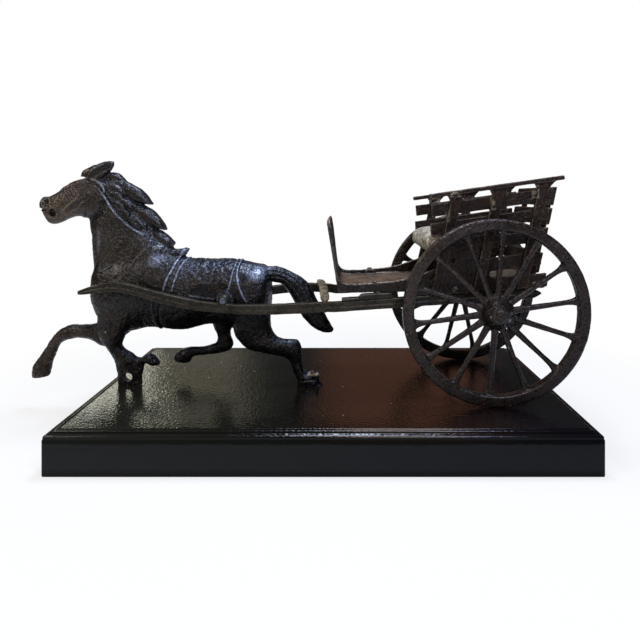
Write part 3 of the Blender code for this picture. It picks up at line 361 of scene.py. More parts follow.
def ramp_along(tree, x, stops):
    """A colour ramp over X; each stop is (place in mm, sRGB hex)."""
    first, last = stops[0][0], stops[-1][0]
    return ramp(tree, stretch(tree, x, first * MM, last * MM),
                [((mm - first) / (last - first), code) for mm, code in stops])


FILMED_METAL = 0.4
# The pale colour of painted glints, kept in the "paint" attribute
GLINT_COLOUR = "#9a8d7b"
# Between these heights the painted shade near the board fades out: below them the iron is darker and duller
PAINTED_SHADE_ZONE = (60 * MM, 100 * MM)


def cast_iron(name, along, worn, dust_and_sheen, rust, rough, dust_and_sheen_amount, grain, rust_amount=0.35,
              edge_from=0.515, low=1.0, shine=0.5):
    """Cast iron: film colours at places in mm along X, then its accents.

    `worn` colours rubbed edges, straps and painted highlights. The next colour is for dust and a painted
    bluish sheen on faces that look up, and `rust` for rust; `rough` is the middle of the roughness. The
    bump is 2 * `grain` mm deep, `edge_from` is the pointiness at which an edge begins, `shine` the
    specular level, and `low` the share of depth and shine that is left near the board, as painted shade.
    """
    material, tree, shader, coordinates = new_material(name)
    here = coordinates.outputs["Object"]
    patches = noise(tree, here, 9, 5.0)
    mottle = noise(tree, here, 1.6, 3.0, 0.7)
    sand = noise(tree, here, 1.2, 2.0)

    # The film: its colour by place, darker and lighter in patches 9 mm and 1.6 mm across, and darker
    # near the board as painted shade
    place = add(tree, "ShaderNodeSeparateXYZ", {"Vector": here}).outputs
    film = ramp_along(tree, place["X"], along)
    both = math_node(tree, "ADD", patches, mottle)
    depth = math_node(tree, "MULTIPLY", stretch(tree, both, 0.82, 1.18, 0.4, 1.5),
                      stretch(tree, place["Z"], *PAINTED_SHADE_ZONE, low, 1.0))
    film = blend(tree, 1.0, film, depth, "MULTIPLY")
    rusty = stretch(tree, noise(tree, here, 5, 6.0), 0.50, 0.68, 0.0, rust_amount)
    film = blend(tree, rusty, film, rust)

    # Dust and a painted bluish sheen of the sky on faces that look up
    up = add(tree, "ShaderNodeSeparateXYZ", {"Vector": coordinates.outputs["Normal"]}).outputs["Z"]
    upward = math_node(tree, "MULTIPLY", stretch(tree, up, 0.35, 0.95, 0.0, dust_and_sheen_amount),
                       stretch(tree, both, 0.85, 1.15, 0.25, 1.3))
    film = blend(tree, upward, film, dust_and_sheen)

    # Rubbed edges and straps, partly painted highlights, broken up by the mottle; hollows and carved
    # lines darker, partly dirt and partly painted shade
    point = add(tree, "ShaderNodeNewGeometry").outputs["Pointiness"]
    carved = add(tree, "ShaderNodeAttribute", attribute_name="carved").outputs["Fac"]
    broken = math_node(tree, "MULTIPLY", stretch(tree, point, edge_from, edge_from + 0.08),
                       stretch(tree, mottle, 0.38, 0.62, 0.1, 0.75))
    straps_and_highlights = math_node(tree, "MULTIPLY", stretch(tree, carved, 0.30, 0.75),
                       stretch(tree, mottle, 0.36, 0.60, 0.3, 0.9))
    bright = worn if isinstance(worn, str) else ramp_along(tree, place["X"], worn)
    film = blend(tree, math_node(tree, "MAXIMUM", broken, straps_and_highlights), film, bright)
    sunk = math_node(tree, "MULTIPLY", stretch(tree, point, 0.42, 0.50, 0.3, 1.0),
                     stretch(tree, carved, -0.8, -0.15, 0.15, 1.0))
    film = blend(tree, 1.0, film, sunk, "MULTIPLY")
    # Painted glints: pale spots of light, kept in the "paint" attribute
    left = add(tree, "ShaderNodeAttribute", attribute_name="paint").outputs["Fac"]
    film = blend(tree, left, film, GLINT_COLOUR)
    tree.links.new(film, shader.inputs["Base Color"])

    # Sand grain 1.2 mm and 2.6 mm across, and shallow pits 1.8 mm apart
    pits = add(tree, "ShaderNodeTexVoronoi", {"Vector": here}, {"Scale": per_metre(1.8)})
    deep = stretch(tree, pits.outputs["Distance"], 0.0, 0.4, -0.12, 0.0)
    coarse = math_node(tree, "MULTIPLY", noise(tree, here, 2.6, 1.0), 1.5)
    height = math_node(tree, "ADD", math_node(tree, "ADD", sand, deep), coarse)
    calm = stretch(tree, noise(tree, here, 24, 2.0), 0.40, 0.60, 0.35, 1.0)
    bump = add(tree, "ShaderNodeBump", {"Height": height, "Strength": calm}, {"Distance": grain * 2 * MM})
    tree.links.new(bump.outputs["Normal"], shader.inputs["Normal"])
    gloss = stretch(tree, mottle, 0.3, 0.7, rough - 0.10, rough + 0.12)
    tree.links.new(gloss, shader.inputs["Roughness"])
    shader.inputs["Metallic"].default_value = FILMED_METAL
    # Less shine near the board, part of the same painted shade
    dull = stretch(tree, place["Z"], *PAINTED_SHADE_ZONE, shine * low, shine)
    tree.links.new(dull, shader.inputs["Specular IOR Level"])
    return material


# Cast iron under worn japan, a baked asphalt varnish: brown at the head, blue-black towards the tail.
# Its darkening towards the tail is partly painted shade, and the dark band round X -128 is painted shade.
horse_iron = cast_iron(
    "darkened_cast_iron",
    [(-215, "#40362c"), (-180, "#483c31"), (-168, "#2b231d"), (-146, "#241f1a"), (-128, "#191613"),
     (-118, "#1d1917"), (-95, "#151518"), (-70, "#121214"), (-55, "#0f1013"), (-40, "#0a0b0b"),
     (6, "#080909")],
    # Pale colour of straps, rubbed edges and painted highlights: warm at the face, bluish behind
    [(-215, "#95846c"), (-166, "#95846c"), (-156, "#8e97a8"), (6, "#7f8aa0")],
    "#566480", "#3a2a1c", rough=0.28, dust_and_sheen_amount=0.25, grain=0.38, low=0.62)
# Cast iron whose japan has thinned and gone an olive brown
shaft_iron = cast_iron(
    "olive_brown_cast_iron",
    [(-165, "#2a261e"), (-60, "#2c2920"), (-20, "#322e25"), (30, "#2a261f"), (60, "#26231b"),
     (140, "#14130f")],
    "#7d7667", "#5f5a4d", "#2b2118", rough=0.36, dust_and_sheen_amount=0.3, rust_amount=0.2, grain=0.2, shine=0.3)
# Japanned cast iron with brown rust showing through
cart_iron = cast_iron(
    "brown_cast_iron", [(0, "#181412"), (60, "#1b1410"), (160, "#21160d")],
    "#a89982", "#6b6158", "#452813", rough=0.38, dust_and_sheen_amount=0.35, grain=0.3, edge_from=0.513, shine=0.35)
# The same iron where dust and grit have lain on it and dulled it; its pale top is partly that dust
# and partly a painted sheen of light
floor_iron = cast_iron(
    "worn_brown_cast_iron", [(0, "#171412"), (20, "#1e1813"), (60, "#1e1813"), (150, "#18120e")],
    "#b8ad9c", "#84715c", "#2e1f16", rough=0.34, dust_and_sheen_amount=0.75, grain=0.5, edge_from=0.52, shine=0.4)
# Cast iron rubbed by rolling and handling, its japan thin and grey-brown
wheel_iron = cast_iron(
    "grey_brown_cast_iron", [(40, "#312923"), (105, "#261e1a"), (165, "#251d19")],
    "#948c80", "#6b635a", "#33221a", rough=0.29, dust_and_sheen_amount=0.35, grain=0.3, edge_from=0.52, low=0.8,
    shine=0.45)
print("five kinds of iron, the horse's with", len(horse_iron.node_tree.nodes), "nodes")

# %% [markdown]
# ## Cream paint and painted light
# The seat and the bar across the shafts keep a coat of cream oil paint, dulled and dirty in the pits.
# Their paleness is partly painted light: they face the window at the left and catch its light. Two
# noises added together, one fine and one broad, choose the place on a ramp from grime to clean paint.
# The bar's coat is the dirtier one.

# %% Cream paint


def cream_paint_and_light(name, stops):
    """Old oil paint: cream mottled with grime, almost matt."""
    material, tree, shader, coordinates = new_material(name)
    here = coordinates.outputs["Object"]
    grime = math_node(tree, "ADD", noise(tree, here, 1.5, 5.0, 0.75), noise(tree, here, 6, 2.0))
    # Painted light: the ramp's pale cream stands partly for the light that these pieces catch
    tree.links.new(ramp(tree, stretch(tree, grime, 0.80, 1.22), stops), shader.inputs["Base Color"])
    bump = add(tree, "ShaderNodeBump", {"Height": noise(tree, here, 1.3, 3.0, 0.7)},
               {"Strength": 1.0, "Distance": 1.0 * MM})
    tree.links.new(bump.outputs["Normal"], shader.inputs["Normal"])
    shader.inputs["Roughness"].default_value = 0.62
    return material


# Cream oil paint, brushed on iron and yellowed; then the same with years of grime on it. Their
# paleness is partly painted light.
cream = cream_paint_and_light("cream_oil_paint", [(0.0, "#40372a"), (0.32, "#8a7f6c"), (0.58, "#b9ad98"),
                                        (1.0, "#cfc7b6")])
dull_cream = cream_paint_and_light("dirty_cream_oil_paint", [(0.0, "#2b251b"), (0.36, "#6e6148"), (0.64, "#958669"),
                                                   (1.0, "#b5a98e")])
print("paints:", cream.name, "and", dull_cream.name)

# %% [markdown]
# ## Lacquered wood and steel
# The board is wood under black lacquer: smooth and glossy, but sprayed, so its skin has the slight
# dimples called orange peel. The lacquer itself is nearly black. What colour it shows is mostly the
# room's, mirrored in it. On the top a ramp along X paints a dark copy of that reflection, olive at the
# left end and red-brown right of the middle. The screws from below are turned steel.

# %% Black lacquer and steel


def black_lacquer(name):
    """Sprayed lacquer: a painted reflection by X along the top, specks of dust, orange peel in the bump."""
    material, tree, shader, coordinates = new_material(name)
    here = coordinates.outputs["Object"]
    x = add(tree, "ShaderNodeSeparateXYZ", {"Vector": here}).outputs["X"]
    drift = stretch(tree, noise(tree, here, 60, 2.0), 0.0, 1.0, -0.02, 0.02)
    share = stretch(tree, math_node(tree, "ADD", x, drift), -0.155, 0.155)
    # Painted reflection on the top, over the lacquer's own near black: olive at the left end and red-brown
    # right of the middle
    top = ramp(tree, share, [(0.0, "#1f201a"), (0.25, "#1b1b15"), (0.44, "#0e0d09"), (0.54, "#1c110b"),
                             (0.72, "#25160e"), (0.88, "#130e10"), (1.0, "#0a0a0f")])
    side = ramp(tree, share, [(0.0, "#161815"), (1.0, "#080b0c")])
    up = add(tree, "ShaderNodeSeparateXYZ", {"Vector": coordinates.outputs["Normal"]}).outputs["Z"]
    # Faces that look up take the top's ramp and its painted reflection; the sides stay near black
    colour_and_painted_reflection = blend(tree, stretch(tree, up, 0.15, 0.55), side, top)

    # On top, one cell of 6 mm in five holds a pale speck of dust almost 1 mm wide
    dust = add(tree, "ShaderNodeTexVoronoi", {"Vector": here}, {"Scale": per_metre(6)})
    speck = stretch(tree, dust.outputs["Distance"], 0.05, 0.085, 1.0, 0.0)
    chosen = add(tree, "ShaderNodeSeparateColor", {"Color": dust.outputs["Color"]}).outputs[0]
    shown = math_node(tree, "MULTIPLY", speck, math_node(tree, "GREATER_THAN", chosen, 0.78))
    shown = math_node(tree, "MULTIPLY", shown, stretch(tree, up, 0.9, 0.98))
    tree.links.new(blend(tree, shown, colour_and_painted_reflection, "#b09c84"), shader.inputs["Base Color"])

    # Dimples 1.7 mm across, weaker on the sides, over a slower swell of the wood 14 mm across
    peel = math_node(tree, "MULTIPLY", noise(tree, here, 1.7, 1.0), stretch(tree, up, 0.5, 0.98, 0.1, 1.0))
    fine = add(tree, "ShaderNodeBump", {"Height": peel}, {"Strength": 1.0, "Distance": 0.26 * MM})
    slow = add(tree, "ShaderNodeBump", {"Height": noise(tree, here, 14, 1.0), "Normal": fine.outputs[0]},
               {"Strength": 0.3, "Distance": 0.4 * MM})
    tree.links.new(slow.outputs["Normal"], shader.inputs["Normal"])
    shader.inputs["Roughness"].default_value = 0.09
    tree.links.new(stretch(tree, up, 0.15, 0.55, 0.13, 0.35), shader.inputs["Specular IOR Level"])
    return material


def plain_steel(name):
    """Bright steel, turned: grey with fine scratches that widen the highlight."""
    material, tree, shader, coordinates = new_material(name)
    lines = noise(tree, coordinates.outputs["Object"], 0.5, 3.0)
    tree.links.new(ramp(tree, lines, [(0.3, "#7c7a76"), (0.7, "#a3a19c")]), shader.inputs["Base Color"])
    tree.links.new(stretch(tree, lines, 0.0, 1.0, 0.3, 0.5), shader.inputs["Roughness"])
    shader.inputs["Metallic"].default_value = 1.0
    return material


# Black lacquer, sprayed on wood and not rubbed down
lacquer = black_lacquer("black_lacquer_on_wood")
# Mild steel, turned on a lathe
steel = plain_steel("turned_steel")
print("finishes:", lacquer.name, "and", steel.name)

# %% [markdown]
# ## Floor and room
# A pale floor in a white room. To the camera the floor turns to plain white away from the toy, so no
# horizon shows, and only the toy's shadow is left on it. The room is white to the camera's own rays
# and dim to all others, so the lamps alone shape the iron and its undersides stay dark.

# %% Floor and room
bpy.context.scene.view_settings.view_transform = "Standard"


def make_floor():
    """A level square of 4 m whose white card is lit near the toy and plain white further out."""
    ring = np.array([[-2000, -2000, 0], [2000, -2000, 0], [2000, 2000, 0], [-2000, 2000, 0]], float)
    obj = build("studio_floor", (ring, np.array([4]), np.arange(4)))
    material, tree, shader, coordinates = new_material("matt_white_card")
    fibres = noise(tree, coordinates.outputs["Object"], 3, 3.0)
    tree.links.new(ramp(tree, fibres, [(0.3, "#eeeeec"), (0.7, "#f4f4f2")]), shader.inputs["Base Color"])
    shader.inputs["Roughness"].default_value = 0.9
    away = add(tree, "ShaderNodeVectorMath", {0: coordinates.outputs["Object"]}, operation="LENGTH")
    plain = stretch(tree, away.outputs["Value"], 0.16, 0.34, 0.72, 1.0)
    seen = add(tree, "ShaderNodeLightPath").outputs["Is Camera Ray"]
    white = add(tree, "ShaderNodeEmission", values={"Color": (1, 1, 1, 1), "Strength": 1.0})
    both = add(tree, "ShaderNodeMixShader", {0: math_node(tree, "MULTIPLY", seen, plain),
                                             1: shader.outputs[0], 2: white.outputs[0]})
    tree.links.new(both.outputs[0], tree.nodes["Material Output"].inputs["Surface"])
    obj.data.materials.append(material)


def white_room(fill, mirror):
    """World: strength 1 to the camera, `mirror` in reflections, `fill` for the light on the toy."""
    world = bpy.data.worlds.new("white_room")
    bpy.context.scene.world = world
    world.use_nodes = True
    tree = world.node_tree
    ray = add(tree, "ShaderNodeLightPath").outputs
    glossy = math_node(tree, "MULTIPLY", ray["Is Glossy Ray"], mirror - fill)
    direct = math_node(tree, "MAXIMUM", ray["Is Camera Ray"], ray["Is Transmission Ray"])
    extra = math_node(tree, "ADD", glossy, math_node(tree, "MULTIPLY", direct, 1.0 - fill))
    tree.nodes["Background"].inputs["Color"].default_value = (1, 1, 1, 1)
    tree.links.new(math_node(tree, "ADD", extra, fill), tree.nodes["Background"].inputs["Strength"])


make_floor()
white_room(fill=0.05, mirror=0.05)
print("room ready")

# %% [markdown]
# ## Lamps and camera
# A cool lamp overhead and a smaller one at the front right, like a patch of sky, give the iron its
# bluish gloss, and faces that look up also carry a painted bluish sheen. A warm one stands in front and
# a broad window at the left. Three weak lamps behind the toy stand where the lacquer mirrors them to
# the camera: the board's olive and red-brown are theirs, and the board's top also carries a painted
# copy of them. The legs and wheels are mirrored dark against them. The camera stands level 396 mm in
# front of the toy. Its picture is shifted, not tilted, which keeps upright edges parallel.

# %% Lamps and camera
# Each lamp: its name, its place and target in mm, its side in mm, its watts and its colour
LAMPS = (
    ("ceiling", (40, 50, 710), (0, 0, 70), 240, 4.6, "#d9e4fb"),
    ("sky", (240, -450, 570), (-20, 0, 80), 150, 2.0, "#b4ccff"),
    ("window", (-620, -420, 520), (-60, 0, 90), 300, 2.2, "#fff8ee"),
    ("rear window", (-650, 1050, 380), (-60, 0, 24), 300, 0.7, "#fbfbe8"),
    ("pale wall", (-400, 1050, 390), (-60, 0, 24), 330, 0.13, "#fff6d4"),
    ("warm wall", (150, 900, 350), (40, 0, 24), 380, 0.30, "#9a5c3c"),
    ("front", (160, -800, 600), (0, 0, 80), 300, 2.2, "#ffe9cf"),
)
CAMERA_PLACE = (9.7, -396, 153.3)


def soft_lamp(name, place, target, size, watts, code):
    """A square lamp at `place` in mm, turned to look at `target`."""
    data = bpy.data.lights.new(name, "AREA")
    data.size, data.energy, data.color = size * MM, watts, linear(code)[:3]
    obj = bpy.data.objects.new(name, data)
    bpy.context.scene.collection.objects.link(obj)
    obj.location = [v * MM for v in place]
    aim = Vector([(b - a) * MM for a, b in zip(place, target)])
    obj.rotation_euler = aim.to_track_quat("-Z", "Y").to_euler()
    obj.visible_camera = False


for lamp in LAMPS:
    soft_lamp(*lamp)
camera_data = bpy.data.cameras.new("camera")
camera_data.lens, camera_data.sensor_width = 31.5, 36
camera_data.shift_x, camera_data.shift_y = -0.0328, -0.1922
camera_data.clip_start = 0.01
camera = bpy.data.objects.new("camera", camera_data)
bpy.context.scene.collection.objects.link(camera)
camera.location = [v * MM for v in CAMERA_PLACE]
camera.rotation_euler = (math.pi / 2, 0, 0)
bpy.context.scene.camera = camera
print(len(LAMPS), "lamps; the camera stands at", CAMERA_PLACE, "mm")

# %% [markdown]
# ## The board
# A routed plinth: a flat top, two half-round beads along its upper edge and a plain face.
# The moulding is one profile of (distance in from the edge, height) pairs. Carrying it round a
# rectangle whose corners are rounded gives the mitres for free.

# %% Board
# Half the board's length, half its width, and its height
BOARD = (154.5, 90.0, 24.0)
SCREW_PLACES = ((-141.8, -10.0), (-15.8, -10.0))
SCREW_BORE, SCREW_HEAD_BORE = 1.4, 3.6


def half_round(inset, height, radius, places=9):
    """A bead: inset + radius cos t, height + radius sin t, with t from 20 to 200 degrees."""
    t = np.radians(np.linspace(20, 200, places))
    return np.stack([inset + radius * np.cos(t), height + radius * np.sin(t)], -1)


def rectangle(inset, height, corner=1.2, places=6):
    """A rectangle `inset` mm inside the board's edge, its corners quarter circles."""
    turn = np.linspace(0, np.pi / 2, places)
    turn = (turn + np.arange(4)[:, None] * np.pi / 2).ravel()
    side = np.stack([np.cos(turn), np.sin(turn)], -1)
    outward = np.repeat([(1, 1), (-1, 1), (-1, -1), (1, -1)], places, axis=0)
    middle = (np.array(BOARD[:2]) - inset - corner) * outward
    return np.column_stack([middle + corner * side, np.full(len(side), height)])


profile = np.vstack([[(0.7, 0.0), (0.15, 0.2), (0.0, 0.8), (0.0, 10.0), (0.0, 19.9), (0.15, 20.2)],
                     half_round(1.45, 21.2, 1.15)[::-1], [(3.3, 21.9), (3.6, 22.3)],
                     half_round(5.0, 22.75, 1.0)[::-1], [(6.4, 23.2), (6.6, 23.75), (6.9, 23.97)],
                     [(7.4, 24.0), (30.0, 24.0), (60.0, 24.0)]])
board = build("board", skin(np.stack([rectangle(*pair) for pair in profile])))
for x, y in SCREW_PLACES:
    bore(board, SCREW_BORE, -1.0, 30.0, (x, y, 0), "Z")
    bore(board, SCREW_HEAD_BORE, -1.0, 9.0, (x, y, 0), "Z")
finish(board, "lacquered_board", "horse_on_board", lacquer, "black_lacquered_wood", "display_board",
       sharp=40)

# %% [markdown]
# ## The horse's body
# The pattern for the horse was carved, so its form has no straight parts. Here each limb is a row of
# ribs measured off the toy's outline. A rib is an ellipse between two points of that outline, and the
# ribs are blended along the limb. Fusing the limbs gives the body that the carver started from.

# %% Ribs of the horse
# A rib: X and Z of one outline point, X and Z of the other, then half the limb's width across
BARREL_RIBS = (
    (-165.8, 95, -165.4, 82, 5), (-161.6, 107, -161, 70, 13.5), (-154, 114, -153, 62, 18),
    (-141, 118, -140, 59, 20), (-129, 119, -128, 61.4, 20.3), (-118, 118, -118, 61.6, 20),
    (-107, 114.5, -107, 60, 20), (-97, 110.5, -97, 60.7, 20.3), (-83, 109.9, -83, 64, 20.4),
    (-66, 109.8, -68, 61.5, 20.4), (-50, 106.5, -54, 59.5, 19.5), (-43.8, 104.8, -43.4, 64, 16.5),
    (-40.6, 99, -40.2, 70, 11.5), (-39.8, 92, -39.8, 77, 6),
)
NECK_RIBS = (
    (-163, 84, -104, 100, 17), (-163.8, 98, -107, 115, 16), (-165, 112.3, -116, 124.5, 14),
    (-165.6, 122, -126, 136.5, 12), (-166.8, 131, -134.5, 148, 10.5), (-167.5, 138.2, -143, 158, 9.5),
    (-171, 144, -153, 168, 9), (-174, 150, -162, 168, 7),
)
HEAD_RIBS = (
    (-163, 146, -158, 166, 7), (-169.2, 138.3, -163, 168, 9), (-174.2, 139.6, -172, 166.6, 9.5),
    (-179.5, 139, -178.4, 164.7, 9), (-185, 136.6, -184.3, 161.2, 8), (-190.5, 134.4, -190, 157, 7.2),
    (-196, 134.8, -195.5, 154.2, 6.8), (-198.8, 140.8, -200, 153.8, 6), (-202.4, 145, -202.3, 150.6, 3.5),
)
TAIL_RIBS = (
    (-52, 103, -50, 92, 6), (-41, 104.5, -40, 93.5, 5.5), (-33.4, 103.9, -32.7, 92.1, 5.5),
    (-24.9, 100.6, -28.5, 88, 5.5), (-17, 96, -23.5, 80, 6), (-12, 90.5, -18.6, 70.3, 6.5),
    (-8, 82.6, -13.6, 64.6, 6.5), (-2.3, 72.2, -8.9, 60.4, 6), (3, 63, -2.3, 57.5, 4.2),
    (5.3, 59.6, 3, 57.3, 1.8),
)
LEFT_HIND_RIBS = (
    (-68, 80, -42, 86, 8), (-65, 68, -38.8, 72, 8.5), (-62.6, 57.2, -38.2, 63.5, 8),
    (-53.6, 48.2, -34.4, 57.5, 7), (-41, 45.6, -28, 55.4, 5.8), (-30, 43, -20, 55.4, 4.8),
    (-25.8, 39.9, -17.2, 49.8, 4.3), (-24.3, 35.5, -17, 41, 3.8), (-23, 31.3, -15.3, 33.6, 4),
    (-21.5, 28, -8, 29.6, 4.8), (-20.6, 23, -1.4, 23, 5.2),
)
RIGHT_HIND_RIBS = (
    (-88, 78, -58, 82, 8), (-85, 68, -64, 68, 7.5), (-82.5, 60, -69.5, 58, 6.5),
    (-80, 53, -70.3, 54, 5.2), (-80.5, 48.5, -68, 46.5, 4.8), (-84, 46.8, -73, 41.5, 4.5),
    (-90, 45, -88, 39, 4), (-97.5, 44.8, -97, 37.8, 4), (-104.5, 44, -99.5, 34, 4.4),
    (-109, 40.5, -104, 33, 4.9), (-111.8, 36.8, -108, 33.6, 4.2),
)
RIGHT_FORE_RIBS = (
    (-140, 80, -135, 62, 7), (-155, 68, -148, 52, 7), (-166.5, 62.3, -160, 45, 6.4),
    (-177, 61, -171, 50, 5.4), (-186.1, 61, -181, 51.3, 5), (-192.8, 58, -189.3, 49.3, 4.9),
    (-198.8, 52.2, -194.1, 46, 4.4), (-205.9, 41.7, -196.9, 39.5, 4.0), (-210.7, 34.8, -199.3, 33.5, 4.3),
    (-213.6, 30.3, -199.9, 29, 4.9), (-214.2, 22.5, -201.3, 23.5, 5.2),
)
LEFT_FORE_RIBS = (
    (-157, 86, -130, 84, 4.5), (-158.4, 79, -132, 77, 6.2), (-158, 71.5, -134.4, 69.5, 7.2),
    (-157, 58.5, -139.5, 57, 7), (-151.5, 49.6, -141, 50.5, 5.6), (-148, 43.5, -133, 44.5, 4.6),
    (-145.8, 38.5, -126, 37.5, 3.6), (-144.6, 29, -127, 29, 2.8), (-144, 22.5, -127.3, 22.5, 2.8),
)
FOLDED_HOOF_RIBS = (
    (-136, 44.5, -134, 37, 4), (-128, 42.6, -126.4, 38.6, 3.2), (-124.8, 45, -123.6, 38.6, 3.8),
    (-121.6, 46, -120, 36.9, 4.2), (-117.4, 42.8, -116.4, 37, 3.6), (-114.9, 39.2, -114.9, 37.9, 1.4),
)
HEEL_BULBS = (
    ((-12.5, 33.0, -12.3, 28, 1.2), (-10.8, 34.0, -10.6, 27, 2.0), (-9.0, 32.8, -9.0, 28, 1.2)),
    ((-8.6, 32.8, -8.4, 27, 1.2), (-7.0, 33.4, -6.8, 26, 1.9), (-5.2, 31.6, -5.2, 26, 1.2)),
)

print("ribs:", sum(map(len, (BARREL_RIBS, NECK_RIBS, HEAD_RIBS, TAIL_RIBS, LEFT_HIND_RIBS, RIGHT_HIND_RIBS,
                             RIGHT_FORE_RIBS, LEFT_FORE_RIBS, FOLDED_HOOF_RIBS))))

# %% [markdown]
# ## Ears, mane and the fused body
# The mane hangs on both sides of a flat core. Each lock is a pointed roll of hair along its own short
# curve, and the small locks lie over the roots of the big ones. The ears are ribbed like the limbs.

# %% Ears, mane and body
LEFT_EAR_RIBS = (
    (-166.4, 169.0, -159.6, 163.4, 3.0), (-164.0, 173.0, -157.2, 166.2, 3.8),
    (-159.6, 176.6, -154.0, 169.2, 3.6), (-153.6, 178.3, -150.6, 172.0, 2.6),
    (-149.2, 178.4, -149.2, 175.2, 1.4),
)
RIGHT_EAR_RIBS = (
    (-176.5, 168, -167, 166, 2.8), (-175, 172, -166, 169.5, 3), (-171, 174.5, -164.5, 172, 2.6),
    (-166, 176.5, -163.5, 174.5, 1.3),
)
MANE_CORE = (
    (-161, 165), (-155, 168), (-149, 163), (-141, 157.5), (-133, 150), (-127, 143), (-122, 134),
    (-117, 126), (-112, 119), (-112, 114), (-124, 112), (-147, 135), (-161, 158),
)
# Locks of the mane: places along each with half its width, then how far from the middle, how thick
MANE_LOCKS = (
    (((-155.7, 167.9, 2.6), (-149.9, 167.6, 3.2), (-145.6, 165.6, 2.2), (-142.6, 164.4, 0.5)), 1.4, 3.2),
    (((-152.7, 163.5, 3.0), (-145.7, 160.8, 4.6), (-137.2, 156.2, 5.2), (-130, 152, 3.7),
      (-123.7, 148.2, 0.5)), 1.9, 4.4),
    (((-147.5, 155.0, 2.0), (-141.2, 151.2, 2.6), (-135.4, 147.6, 1.8), (-131.4, 145.2, 0.6)), 4.4, 2.6),
    (((-143.7, 149.6, 3.0), (-135.2, 145.2, 4.5), (-127.2, 140.3, 5.0), (-119.8, 135.1, 3.6),
      (-113.6, 130.2, 0.5)), 1.9, 4.4),
    (((-139.4, 141.4, 2.0), (-132.2, 137.4, 2.6), (-126.0, 133.2, 1.8), (-121.8, 130.4, 0.6)), 4.6, 2.6),
    (((-131.7, 129.6, 3.0), (-122.2, 126.6, 4.5), (-114.7, 122.7, 4.1), (-108.9, 119.3, 1.9)), 2.2, 4.0),
    (((-128.7, 127, 2.4), (-120.7, 121.6, 2.6), (-113.1, 117.2, 1.4)), 4, 2.6),
    (((-158.1, 163.5, 1.4), (-154.3, 161, 2), (-150.7, 156.6, 1.6), (-149.7, 153.6, 0.5)), 6.4, 2.4),
    (((-152.6, 161.5, 1.4), (-147.9, 160.2, 1.9), (-143.1, 156.6, 1.5), (-141.6, 153.4, 0.5)), 5.8, 2.3),
    (((-151.1, 156.5, 1.4), (-146.3, 155.3, 1.9), (-142.1, 151, 1.5), (-141.3, 148, 0.5)), 6.8, 2.3),
    (((-148.6, 150.8, 1.3), (-144.5, 148.8, 1.8), (-141.1, 144.8, 1.4), (-140.9, 142.2, 0.5)), 7.4, 2.3),
    (((-144.6, 151.6, 1.3), (-140.7, 150.2, 1.8), (-136.5, 146.6, 1.4), (-135.1, 144, 0.5)), 6.2, 2.3),
    (((-144.1, 145, 1.3), (-140.7, 144, 1.8), (-137.1, 140.4, 1.4), (-136.5, 137.6, 0.5)), 7.6, 2.3),
    (((-141.6, 141.6, 1.3), (-138.3, 140, 1.7), (-134.5, 136.6, 1.4), (-133.1, 134, 0.5)), 7.8, 2.2),
    (((-137.7, 136.8, 1.2), (-134.5, 135.4, 1.6), (-130.7, 132.4, 1.3), (-128.7, 130.2, 0.5)), 8, 2.2),
    (((-137.1, 139.4, 1.3), (-132.7, 137.6, 1.7), (-127.7, 133.6, 1.3), (-125.5, 131, 0.5)), 6.8, 2.3),
    (((-107.6, 112.2, 1.6), (-104.8, 113.9, 2.2), (-102.8, 115.4, 1.2), (-102, 116, 0.5)), 2.6, 2.8),
    (((-103.4, 112.6, 1.4), (-101, 115, 1.5), (-99, 116.4, 0.6)), 2.2, 2.2),
    (((-112.5, 111, 2), (-109.4, 113.4, 2.6), (-106.4, 113.4, 2), (-104.6, 112.2, 0.8)), 4.4, 3),
)


def ribbed(ribs, centre_y=0.0, places=40, steps=6):
    """A limb: middle + reach cos t in the side view, width sin t across, blended along the limb."""
    table = curve(ribs, steps)
    middle, reach = (table[:, 0:2] + table[:, 2:4]) / 2, (table[:, 0:2] - table[:, 2:4]) / 2
    turn = np.linspace(0, 2 * np.pi, places, endpoint=False)
    xz = middle[:, None] + reach[:, None] * np.cos(turn)[None, :, None]
    y = centre_y + table[:, 4, None] * np.sin(turn)
    return skin(np.stack([xz[..., 0], y, xz[..., 1]], -1))


def lock(places, y, thick, around=24, steps=5):
    """A lock of hair: across it cos t, out of it sin t with faint hair grooves, along a curve."""
    course = curve(places, steps)
    along = np.gradient(course[:, :2], axis=0)
    along /= np.linalg.norm(along, axis=1)[:, None]
    t = np.linspace(0, 2 * np.pi, around, endpoint=False)
    width = course[:, 2, None] * np.cos(t)
    swell = thick * np.sqrt(course[:, 2] / course[:, 2].max())[:, None]
    out = swell * np.sin(t) * (1 - 0.07 * np.cos(8 * t + 0.6))
    x = course[:, 0, None] - along[:, 1, None] * width
    z = course[:, 1, None] + along[:, 0, None] * width
    return skin(np.stack([x, y + out, z], -1))


LEG_Y = 10.0
limbs = [ribbed(BARREL_RIBS, places=64), ribbed(NECK_RIBS), ribbed(HEAD_RIBS), ribbed(TAIL_RIBS),
         ribbed(LEFT_HIND_RIBS, -LEG_Y), ribbed(RIGHT_HIND_RIBS, LEG_Y),
         ribbed(LEFT_FORE_RIBS, -LEG_Y), ribbed(FOLDED_HOOF_RIBS, -LEG_Y), ribbed(RIGHT_FORE_RIBS, LEG_Y)]
body = fuse(build("horse", *limbs), 0.7, 14)
hair = build("hair", ribbed(LEFT_EAR_RIBS, -4.8), ribbed(RIGHT_EAR_RIBS, 4.8), plate(MANE_CORE, -3.0, 3.0),
             *[lock(places, side * y, thick) for places, y, thick in MANE_LOCKS for side in (-1, 1)])
heels = build("heels", *[ribbed(ribs, -LEG_Y - 1.6, 24) for ribs in HEEL_BULBS])
horse = join(body, hair, heels)
fuse(horse, 0.53, 2)
print("horse body:", len(horse.data.vertices), "points")

